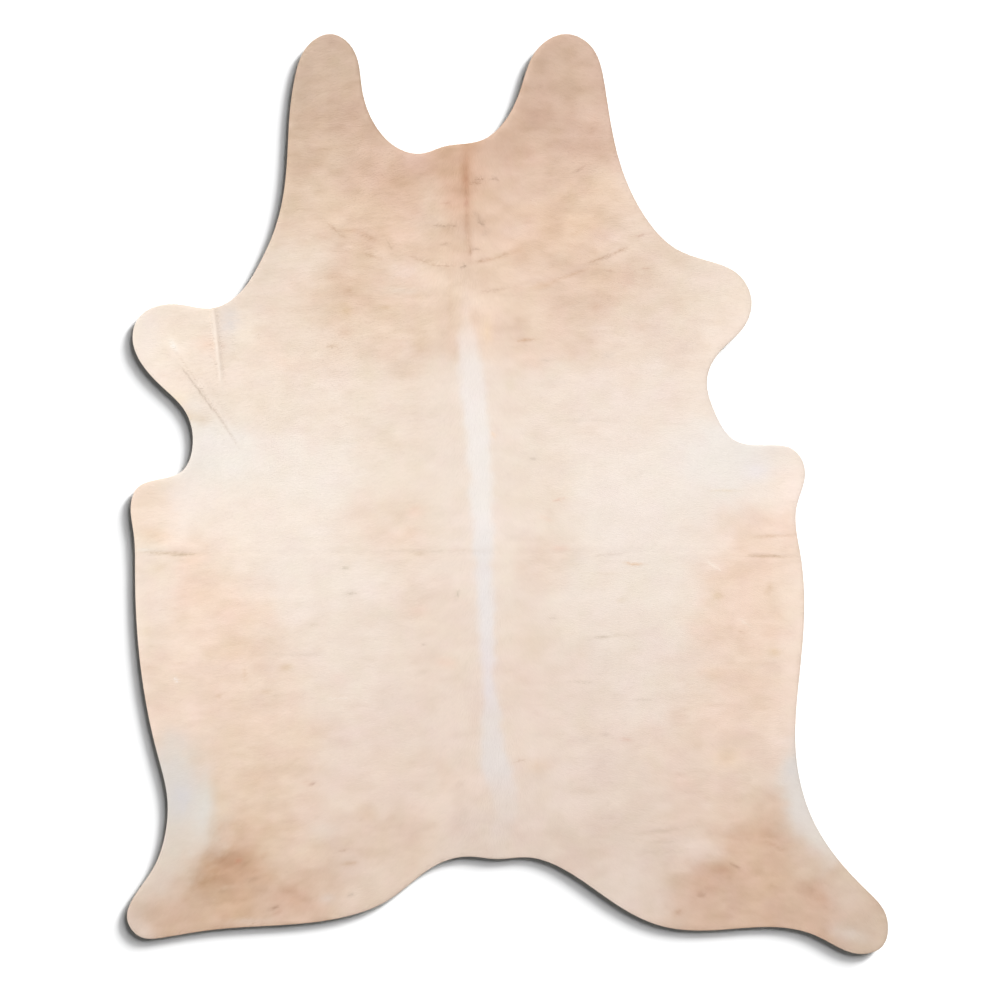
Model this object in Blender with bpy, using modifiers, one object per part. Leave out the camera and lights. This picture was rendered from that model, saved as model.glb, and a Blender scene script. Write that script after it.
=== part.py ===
"""Hair-on cowhide rug, laid flat with its hair side up.

Metres, +Z up. The head end points towards +Y and the rug lies on z = 0, so that "left" is -X
as seen from above. One skin, cut to the animal's outline: ears, forelegs, flanks, hind legs.
"""

import bmesh
import bpy
import numpy as np
from mathutils import Vector
from mathutils.geometry import delaunay_2d_cdt

MM = 0.001

# The skin is about 2 mm and its combed-down hair about 2 mm more.
THICKNESS = 4.0 * MM
CUT_EDGE_SHARE = 0.6  # the hair thins out towards the cut edge

# Spacing of the mesh's points
EDGE_STEP = 15 * MM
FIELD_STEP = 52 * MM
FOLD_STEP = 36 * MM
FOLD_ROWS = (-2.2, -1.0, 0.0, 1.0, 2.2)  # in half widths of the fold
FOLD_REACH = 4.5  # in half widths: past this the sheet is flat again
LEAST_GAP = 8 * MM  # two points are never nearer than this

# The tanned skin has dried with its edge turned up a little, over this width.
CURL_WIDTH = 85 * MM
EDGE_LIFT = 5.6 * MM

# Clockwise from above. A closed smooth curve runs through the marks: name, across, along (mm).
OUTLINE = (
    ("ear left tip", -440, 1149),
    ("ear left inner top", -390, 1117),
    ("ear left inner edge", -364, 1012),
    ("ear left root", -322, 908),
    ("poll left", -272, 863),
    ("poll hollow", -213, 851),
    ("poll rise", -160, 868),
    ("nape", -110, 875),
    ("poll right", -60, 886),
    ("ear right root", -17, 919),
    ("ear right inner edge", 35, 1018),
    ("ear right inner top", 78, 1115),
    ("ear right tip", 148, 1149),
    ("ear right outer top", 208, 1119),
    ("ear right outer edge", 240, 1035),
    ("ear right outer low", 257, 930),
    ("neck right", 283, 820),
    ("neck right base", 344, 692),
    ("shoulder right", 422, 612),
    ("foreleg right top", 510, 580),
    ("foreleg right crown", 578, 547),
    ("foreleg right tip", 609, 480),
    ("foreleg right under", 590, 418),
    ("foreleg right back", 525, 350),
    ("armpit right", 498, 285),
    ("armpit right low", 516, 208),
    ("armpit right turn", 568, 134),
    ("flank right top", 650, 122),
    ("flank right shoulder", 715, 110),
    ("flank right corner", 742, 62),
    ("flank right dip", 722, -30),
    ("belly right top", 731, -150),
    ("belly right", 741, -280),
    ("belly right low", 726, -480),
    ("stifle right", 720, -645),
    ("hind leg right front", 768, -825),
    ("hock right", 900, -993),
    ("hind foot right top", 941, -1042),
    ("hind foot right", 950, -1086),
    ("hind foot right toe", 937, -1128),
    ("hind foot right low", 892, -1148),
    ("hind leg right inner", 772, -1103),
    ("thigh right", 682, -1082),
    ("thigh right low", 510, -1089),
    ("rump right", 387, -1079),
    ("rump right rise", 290, -1036),
    ("tail right", 150, -942),
    ("tail right corner", 50, -907),
    ("tail", -27, -911),
    ("tail left corner", -97, -905),
    ("tail left", -168, -921),
    ("rump left rise", -300, -1015),
    ("rump left", -400, -1054),
    ("thigh left", -600, -1078),
    ("hind leg left inner", -747, -1089),
    ("hind foot left inner", -860, -1107),
    ("hind foot left toe", -920, -1104),
    ("hind foot left", -950, -1060),
    ("hock left", -935, -1010),
    ("hind leg left outer", -886, -937),
    ("hind leg left front", -855, -850),
    ("stifle left", -850, -755),
    ("stifle left top", -874, -650),
    ("belly left low", -911, -470),
    ("belly left top", -930, -200),
    ("flank left", -934, -95),
    ("flank left corner", -940, -22),
    ("flank left shoulder", -926, 14),
    ("flank left top", -870, 37),
    ("armpit left turn", -812, 58),
    ("armpit left", -787, 116),
    ("foreleg left back", -805, 207),
    ("foreleg left under", -860, 266),
    ("foreleg left lower", -913, 325),
    ("foreleg left tip", -936, 385),
    ("foreleg left crown", -920, 442),
    ("foreleg left top", -877, 469),
    ("foreleg left upper", -810, 472),
    ("shoulder left notch", -740, 464),
    ("shoulder left bend", -680, 492),
    ("shoulder left", -620, 575),
    ("neck left base", -580, 665),
    ("neck left", -553, 800),
    ("ear left outer low", -543, 960),
    ("ear left outer edge", -530, 1045),
    ("ear left outer top", -495, 1124),
)

# A fold runs from one point to another, bowed to its left by "bow". It may be a ridge along
# its line, or a crease with a raised shoulder on its left, on its right or on both. The ridge
# has a half width on each side of its line, and a shoulder takes its own side's (all mm).
# name, from across, from along, to across, to along, bow,
#     half width left, half width right, ridge, left, right
FOLDS = (
    ("foreleg pinch", -744, 520, -716, 268, 3, 6, 5, 2.6, 0.0, 0.0),
    ("foreleg pinch, fall", -744, 560, -722, 310, 2, 36, 9, 2.4, 0.0, 0.0),
    ("foreleg crease", -852, 390, -672, 118, 3, 9, 9, 0.0, 1.5, 1.1),
    ("barrel fold", -938, -144, 742, -136, -8, 13, 13, 0.0, 0.5, 0.5),
    ("barrel fold, left end", -938, -147, -735, -148, 0, 12, 12, 0.0, 1.4, 0.8),
    ("barrel fold, right end", 590, -157, 736, -156, 0, 11, 11, 0.0, 1.0, 0.7),
    ("flank wrinkle", 600, -108, 732, -104, 0, 11, 11, 0.0, 0.9, 0.6),
    ("nape parting", -106, 884, -104, 575, 0, 12, 12, 0.0, 0.7, 0.7),
    ("neck wrinkle, left", -427, 671, -310, 624, 4, 11, 11, 0.0, 0.7, 0.5),
    ("neck wrinkle, middle", -226, 597, -60, 580, -10, 11, 11, 0.0, 0.4, 0.4),
    ("neck wrinkle, middle right", -96, 578, 54, 622, -8, 11, 11, 0.0, 0.5, 0.4),
    ("neck wrinkle, right", -66, 510, 190, 560, -8, 12, 12, 0.0, 0.4, 0.4),
    ("neck wrinkle, far right", 150, 546, 362, 653, -6, 12, 12, 0.0, 0.7, 0.5),
    ("rump wrinkle, upper", 318, -853, 478, -829, 3, 12, 12, 0.0, 0.7, 0.5),
    ("rump wrinkle, lower", 315, -901, 450, -890, 3, 12, 12, 0.0, 0.7, 0.5),
)

# The edge stands off the floor all the way round, more or less so near each of these places:
# name, across, along, reach, lift (mm).
CURLS = (
    ("ear left", -450, 1120, 150, 1.2),
    ("nape", -130, 870, 130, -0.8),
    ("ear right", 150, 1120, 150, 1.2),
    ("neck right", 300, 800, 170, -0.8),
    ("foreleg right", 600, 480, 160, 1.5),
    ("armpit right", 510, 230, 110, -0.8),
    ("flank right corner", 738, 60, 120, 1.5),
    ("belly right", 738, -300, 200, 0.8),
    ("stifle right", 722, -690, 200, -0.8),
    ("hind foot right", 935, -1085, 180, 1.5),
    ("thigh right", 560, -1088, 150, 0.4),
    ("rump right", 220, -990, 130, 0.8),
    ("tail", -40, -910, 120, 0.6),
    ("rump left", -390, -1050, 170, 0.8),
    ("thigh left", -680, -1085, 120, 0.6),
    ("hind foot left", -935, -1060, 180, 1.0),
    ("stifle left", -850, -760, 150, 0.6),
    ("belly left", -915, -420, 230, 0.8),
    ("flank left corner", -936, -10, 120, 1.2),
    ("foreleg left", -930, 390, 160, 0.6),
    ("neck left", -570, 720, 150, 1.0),
)

# Average colour of the coat in linear light
COAT_COLOUR = (0.82, 0.66, 0.53, 1.0)
COAT_ROUGHNESS = 0.62


def closed_curve(marks, step):
    """Points at about even steps on a closed cubic spline through the marks.

    Each stretch between two marks is a Hermite cubic, and the marks' tangents are solved
    together so that the curvature runs on without a jump.
    """
    count = len(marks)
    ahead = np.roll(marks, -1, axis=0)
    length = np.linalg.norm(ahead - marks, axis=1)
    length_before = np.roll(length, 1)
    rate = (ahead - marks) / length[:, None] ** 2
    here = np.arange(count)
    system = np.zeros((count, count))
    system[here, here - 1] = 1 / length_before
    system[here, here] = 2 / length_before + 2 / length
    system[here, (here + 1) % count] = 1 / length
    tangents = np.linalg.solve(system, 3 * (rate + np.roll(rate, 1, axis=0)))
    stretches = []
    for i in range(count):
        steps = max(2, round(length[i] / step))
        t = (np.arange(steps) / steps)[:, None]
        leave = tangents[i] * length[i]
        arrive = tangents[(i + 1) % count] * length[i]
        stretches.append(
            (2 * t**3 - 3 * t**2 + 1) * marks[i]
            + (t**3 - 2 * t**2 + t) * leave
            + (3 * t**2 - 2 * t**3) * ahead[i]
            + (t**3 - t**2) * arrive
        )
    return np.concatenate(stretches)


def inside(points, loop):
    """True for each point that the closed loop goes round, by counting crossings."""
    x, y = points[:, 0, None], points[:, 1, None]
    x0, y0 = loop.T
    x1, y1 = np.roll(loop, -1, axis=0).T
    spans = (y0 > y) != (y1 > y)
    rise = np.where(y1 == y0, 1.0, y1 - y0)
    crosses = spans & (x < x0 + (x1 - x0) * (y - y0) / rise)
    return crosses.sum(axis=1) % 2 == 1


def distance_to(points, others):
    """Distance from each point to the nearest of the others."""
    return np.linalg.norm(points[:, None] - others[None], axis=2).min(axis=1)


def fold_frame(fold):
    """(start, direction, left-hand normal, length, bow) of a fold, in metres."""
    _, from_x, from_y, to_x, to_y, bow = fold[:6]
    start = np.array((from_x, from_y)) * MM
    run = np.array((to_x, to_y)) * MM - start
    length = np.linalg.norm(run)
    direction = run / length
    normal = np.array((-direction[1], direction[0]))
    return start, direction, normal, length, bow * MM


def fold_height(fold, points):
    """Height that a fold gives the sheet at each point.

    With d the distance from the fold's line in half widths, a ridge is exp(-d squared) and a
    shoulder is d exp((1 - d squared) / 2), highest at d = 1. Both fade out at the two ends.
    """
    start, direction, normal, length, bow = fold_frame(fold)
    width_left, width_right, ridge, left, right = (value * MM for value in fold[6:])
    offset = points - start
    t = offset @ direction / length
    within = np.clip(t, 0, 1)
    beside = offset @ normal - 4 * bow * within * (1 - within)
    d = np.abs(beside) / np.where(beside > 0, width_left, width_right)
    near = (t > 0) & (t < 1) & (d < FOLD_REACH)
    fade = np.where(near, 1 - (2 * within - 1) ** 4, 0.0)
    shoulder = np.where(beside > 0, left, right) * d * np.exp((1 - d**2) / 2)
    return fade * (ridge * np.exp(-(d**2)) + shoulder)


def fold_points(fold):
    """Rows of points along a fold, so that the mesh has edges where its shape turns."""
    start, direction, normal, length, bow = fold_frame(fold)
    width_left, width_right = fold[6] * MM, fold[7] * MM
    t = np.linspace(0.02, 0.98, max(4, round(length / FOLD_STEP)))
    line = start + t[:, None] * length * direction + (4 * bow * t * (1 - t))[:, None] * normal
    rows = [row * (width_left if row > 0 else width_right) for row in FOLD_ROWS]
    return np.concatenate([line + row * normal for row in rows])


def curl_height(points, edge_distance):
    """Lift of the edge: the even lift and a bell round each curl, times nearness squared."""
    lift_here = np.full(len(points), EDGE_LIFT)
    for _, across, along, reach, lift in CURLS:
        away = np.linalg.norm(points - np.array((across, along)) * MM, axis=1)
        lift_here += lift * MM * np.exp(-((away / (reach * MM)) ** 2))
    return lift_here * np.clip(1 - edge_distance / CURL_WIDTH, 0, 1) ** 2


def field_points(outline):
    """A grid of points in staggered rows over the outline's box."""
    low, high = outline.min(axis=0), outline.max(axis=0)
    row_step = FIELD_STEP * np.sqrt(3) / 2
    rows = np.arange(low[1], high[1], row_step)
    columns = np.arange(low[0], high[0], FIELD_STEP)
    x, y = np.meshgrid(columns, rows)
    x[1::2] += FIELD_STEP / 2
    return np.stack([x.ravel(), y.ravel()], axis=1)


def thinned(points, spacing, kept):
    """The points that lie at least the spacing from every one kept so far."""
    for point in points:
        if np.linalg.norm(kept - point, axis=1).min() >= spacing:
            kept = np.vstack([kept, point])
    return kept


def inner_points(outline):
    """Points inside the outline: the folds' rows first, then the field between them."""
    rows = np.concatenate([fold_points(fold) for fold in FOLDS])
    rows = rows[inside(rows, outline) & (distance_to(rows, outline) > LEAST_GAP)]
    kept = thinned(rows, LEAST_GAP, rows[:1])
    field = field_points(outline)
    field = field[inside(field, outline) & (distance_to(field, outline) > 0.55 * FIELD_STEP)]
    field = field[distance_to(field, kept) > 0.45 * FIELD_STEP]
    return np.vstack([kept, field])


def hide_material():
    material = bpy.data.materials.new("hair_on_cowhide")
    material.use_nodes = True
    shader = material.node_tree.nodes["Principled BSDF"]
    shader.inputs["Base Color"].default_value = COAT_COLOUR
    shader.inputs["Roughness"].default_value = COAT_ROUGHNESS
    shader.inputs["Metallic"].default_value = 0.0
    return material


def add_hide(collection):
    """The skin as an open surface with its underside on the floor, thickened upwards."""
    marks = np.array([row[1:] for row in OUTLINE]) * MM
    outline = closed_curve(marks, EDGE_STEP)
    middle = (outline.min(axis=0) + outline.max(axis=0)) / 2
    points = np.vstack([outline, inner_points(outline)])
    loop = list(range(len(outline)))[::-1]
    flat, _, faces, _, _, _ = delaunay_2d_cdt([Vector(p) for p in points], [], [loop], 1, 1e-7)
    flat = np.array([tuple(p) for p in flat])
    edge_distance = distance_to(flat, closed_curve(marks, EDGE_STEP / 4))
    height = curl_height(flat, edge_distance)
    for fold in FOLDS:
        height += fold_height(fold, flat)
    place = np.column_stack([flat - middle, height])

    mesh = bpy.data.meshes.new("hide")
    mesh.from_pydata(place.tolist(), [], faces)
    work = bmesh.new()
    work.from_mesh(mesh)
    bmesh.ops.triangulate(work, faces=work.faces[:])
    bmesh.ops.recalc_face_normals(work, faces=work.faces[:])
    if sum(face.normal.z for face in work.faces) < 0:
        bmesh.ops.reverse_faces(work, faces=work.faces[:])
    rim = [vertex.index for vertex in work.verts if vertex.is_boundary]
    work.to_mesh(mesh)
    work.free()
    mesh.shade_smooth()
    mesh.materials.append(hide_material())

    hide = bpy.data.objects.new("hide", mesh)
    collection.objects.link(hide)
    coat = hide.vertex_groups.new(name="coat_thickness")
    coat.add(list(range(len(mesh.vertices))), 1.0, "REPLACE")
    coat.add(rim, CUT_EDGE_SHARE, "REPLACE")
    solidify = hide.modifiers.new("skin_and_hair", "SOLIDIFY")
    solidify.thickness = THICKNESS
    solidify.offset = 1.0
    solidify.vertex_group = coat.name
    return hide


def main():
    for old in list(bpy.data.objects):
        bpy.data.objects.remove(old, do_unlink=True)
    collection = bpy.data.collections.new("cowhide_rug")
    bpy.context.scene.collection.children.link(collection)
    add_hide(collection)


main()
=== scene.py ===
"""Hair-on cowhide rug, laid flat with its hair side up: its finish and its setting.

Metres, +Z up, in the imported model's frame. The head end points towards +Y, so that "left" is
-X as seen from above. The tanned skin has the outline, folds and curled edge of the model's
sheet. Its coat is painted in tones, a stripe and small marks, and its short hair lies on it
in combed locks.
"""

import math

import bpy
import numpy as np
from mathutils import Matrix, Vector


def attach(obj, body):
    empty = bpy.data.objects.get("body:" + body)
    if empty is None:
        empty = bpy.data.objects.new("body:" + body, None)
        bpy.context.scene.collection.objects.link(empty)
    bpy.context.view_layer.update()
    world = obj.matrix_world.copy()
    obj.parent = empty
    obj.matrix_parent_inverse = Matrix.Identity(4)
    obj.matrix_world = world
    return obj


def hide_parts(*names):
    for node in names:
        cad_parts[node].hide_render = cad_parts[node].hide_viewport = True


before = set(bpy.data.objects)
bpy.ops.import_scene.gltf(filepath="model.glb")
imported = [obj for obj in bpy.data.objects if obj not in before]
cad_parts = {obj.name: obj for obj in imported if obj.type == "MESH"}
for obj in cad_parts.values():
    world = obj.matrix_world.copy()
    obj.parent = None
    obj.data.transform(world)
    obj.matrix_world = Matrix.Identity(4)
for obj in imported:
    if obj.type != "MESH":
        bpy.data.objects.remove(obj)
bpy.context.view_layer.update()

MM = 0.001

# The skin and its combed hair together, in the field and at the cut edge
COAT_TOP = 4.0 * MM
COAT_TOP_AT_EDGE = 2.4 * MM
EDGE_THINNING = 12 * MM  # the hair thins out over about this width
SKIN_THICKNESS = 1.7 * MM  # the bare tanned skin, as its cut edge shows it
CUT_BULGE = 0.5 * MM  # the middle of the cut edge stands out by this much

# The coat's soft unevenness: height, cell (mm), seed
COAT_RELIEF = (
    (0.25, 38, 11),
    (0.15, 17, 12),
)

# The edge is turned up a little, over this width.
CURL_WIDTH = 85 * MM
EDGE_LIFT = 5.6 * MM

# Spacing of the skin's rows and columns of points, and of the points along its outline
WIDE_STEP = 10.4 * MM
STEP_EASE = 30 * MM  # the spacing widens over this distance
OUTLINE_STEP = 2 * MM
SLIVER = 1 * MM**2  # a triangle on the outline smaller than this is left out
MAP_GAP = 0.03  # between the two sides in the skin's flat map, as a share of its width

# Where the skin's columns and rows stand closer together: name, from, to, spacing (mm)
FINE_COLUMNS = (
    ("foreleg crease", -860, -665, 4.0),
    ("foreleg pinch", -752, -708, 2.5),
)
FINE_ROWS = (
    ("rump wrinkles", -912, -812, 6.5),
    ("barrel fold", -165, -95, 6.0),
    ("foreleg crease", 110, 400, 4.0),
    ("foreleg pinch", 400, 480, 6.0),
    ("neck wrinkles", 500, 670, 6.5),
)

# Clockwise from above. A closed smooth curve runs through the marks: name, across, along (mm).
OUTLINE = (
    ("ear left tip", -440, 1149),
    ("ear left inner top", -390, 1117),
    ("ear left inner edge", -364, 1012),
    ("ear left root", -322, 908),
    ("poll left", -272, 863),
    ("poll hollow", -213, 851),
    ("poll rise", -160, 868),
    ("nape", -110, 875),
    ("poll right", -60, 886),
    ("ear right root", -17, 919),
    ("ear right inner edge", 35, 1018),
    ("ear right inner top", 78, 1115),
    ("ear right tip", 148, 1149),
    ("ear right outer top", 208, 1119),
    ("ear right outer edge", 240, 1035),
    ("ear right outer low", 257, 930),
    ("neck right", 283, 820),
    ("neck right base", 344, 692),
    ("shoulder right", 422, 612),
    ("foreleg right top", 510, 580),
    ("foreleg right crown", 578, 547),
    ("foreleg right tip", 609, 480),
    ("foreleg right under", 590, 418),
    ("foreleg right back", 525, 350),
    ("armpit right", 498, 285),
    ("armpit right low", 516, 208),
    ("armpit right turn", 568, 134),
    ("flank right top", 650, 122),
    ("flank right shoulder", 715, 110),
    ("flank right corner", 742, 62),
    ("flank right dip", 722, -30),
    ("belly right top", 731, -150),
    ("belly right", 741, -280),
    ("belly right low", 726, -480),
    ("stifle right", 720, -645),
    ("hind leg right front", 768, -825),
    ("hock right", 900, -993),
    ("hind foot right top", 941, -1042),
    ("hind foot right", 950, -1086),
    ("hind foot right toe", 937, -1128),
    ("hind foot right low", 892, -1148),
    ("hind leg right inner", 772, -1103),
    ("thigh right", 682, -1082),
    ("thigh right low", 510, -1089),
    ("rump right", 387, -1079),
    ("rump right rise", 290, -1036),
    ("tail right", 150, -942),
    ("tail right corner", 50, -907),
    ("tail", -27, -911),
    ("tail left corner", -97, -905),
    ("tail left", -168, -921),
    ("rump left rise", -300, -1015),
    ("rump left", -400, -1054),
    ("thigh left", -600, -1078),
    ("hind leg left inner", -747, -1089),
    ("hind foot left inner", -860, -1107),
    ("hind foot left toe", -920, -1104),
    ("hind foot left", -950, -1060),
    ("hock left", -935, -1010),
    ("hind leg left outer", -886, -937),
    ("hind leg left front", -855, -850),
    ("stifle left", -850, -755),
    ("stifle left top", -874, -650),
    ("belly left low", -911, -470),
    ("belly left top", -930, -200),
    ("flank left", -934, -95),
    ("flank left corner", -940, -22),
    ("flank left shoulder", -926, 14),
    ("flank left top", -870, 37),
    ("armpit left turn", -812, 58),
    ("armpit left", -787, 116),
    ("foreleg left back", -805, 207),
    ("foreleg left under", -860, 266),
    ("foreleg left lower", -913, 325),
    ("foreleg left tip", -936, 385),
    ("foreleg left crown", -920, 442),
    ("foreleg left top", -877, 469),
    ("foreleg left upper", -810, 472),
    ("shoulder left notch", -740, 464),
    ("shoulder left bend", -680, 492),
    ("shoulder left", -620, 575),
    ("neck left base", -580, 665),
    ("neck left", -553, 800),
    ("ear left outer low", -543, 960),
    ("ear left outer edge", -530, 1045),
    ("ear left outer top", -495, 1124),
)

# A fold runs from one point to another, bowed to its left by "bow". It may be a ridge along
# its line, or a crease with a raised shoulder on its left, on its right or on both. The ridge
# has a half width on each side of its line, and a shoulder takes its own side's (all mm).
# name, from across, from along, to across, to along, bow,
#     half width left, half width right, ridge, left, right
FOLDS = (
    ("foreleg pinch", -744, 520, -716, 268, 3, 6, 5, 2.6, 0.0, 0.0),
    ("foreleg pinch, fall", -744, 560, -722, 310, 2, 36, 9, 2.4, 0.0, 0.0),
    ("foreleg crease", -852, 390, -672, 118, 3, 9, 9, 0.0, 1.5, 1.1),
    ("barrel fold", -938, -144, 742, -136, -8, 13, 13, 0.0, 0.5, 0.5),
    ("barrel fold, left end", -938, -147, -735, -148, 0, 12, 12, 0.0, 1.4, 0.8),
    ("barrel fold, right end", 590, -157, 736, -156, 0, 11, 11, 0.0, 1.0, 0.7),
    ("flank wrinkle", 600, -108, 732, -104, 0, 11, 11, 0.0, 0.9, 0.6),
    ("nape parting", -106, 884, -104, 575, 0, 12, 12, 0.0, 0.7, 0.7),
    ("neck wrinkle, left", -427, 671, -310, 624, 4, 11, 11, 0.0, 0.7, 0.5),
    ("neck wrinkle, middle", -226, 597, -60, 580, -10, 11, 11, 0.0, 0.4, 0.4),
    ("neck wrinkle, middle right", -96, 578, 54, 622, -8, 11, 11, 0.0, 0.5, 0.4),
    ("neck wrinkle, right", -66, 510, 190, 560, -8, 12, 12, 0.0, 0.4, 0.4),
    ("neck wrinkle, far right", 150, 546, 362, 653, -6, 12, 12, 0.0, 0.7, 0.5),
    ("rump wrinkle, upper", 318, -853, 478, -829, 3, 12, 12, 0.0, 0.7, 0.5),
    ("rump wrinkle, lower", 315, -901, 450, -890, 3, 12, 12, 0.0, 0.7, 0.5),
)
FOLD_REACH = 4.5  # in half widths: past this the sheet is flat again

# The edge stands off the floor all the way round, more or less so near each of these places:
# name, across, along, reach, lift (mm).
CURLS = (
    ("ear left", -450, 1120, 150, 1.2),
    ("nape", -130, 870, 130, -0.8),
    ("ear right", 150, 1120, 150, 1.2),
    ("neck right", 300, 800, 170, -0.8),
    ("foreleg right", 600, 480, 160, 1.5),
    ("armpit right", 510, 230, 110, -0.8),
    ("flank right corner", 738, 60, 120, 1.5),
    ("belly right", 738, -300, 200, 0.8),
    ("stifle right", 722, -690, 200, -0.8),
    ("hind foot right", 935, -1085, 180, 1.5),
    ("thigh right", 560, -1088, 150, 0.4),
    ("rump right", 220, -990, 130, 0.8),
    ("tail", -40, -910, 120, 0.6),
    ("rump left", -390, -1050, 170, 0.8),
    ("thigh left", -680, -1085, 120, 0.6),
    ("hind foot left", -935, -1060, 180, 1.0),
    ("stifle left", -850, -760, 150, 0.6),
    ("belly left", -915, -420, 230, 0.8),
    ("flank left corner", -936, -10, 120, 1.2),
    ("foreleg left", -930, 390, 160, 0.6),
    ("neck left", -570, 720, 150, 1.0),
)

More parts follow.
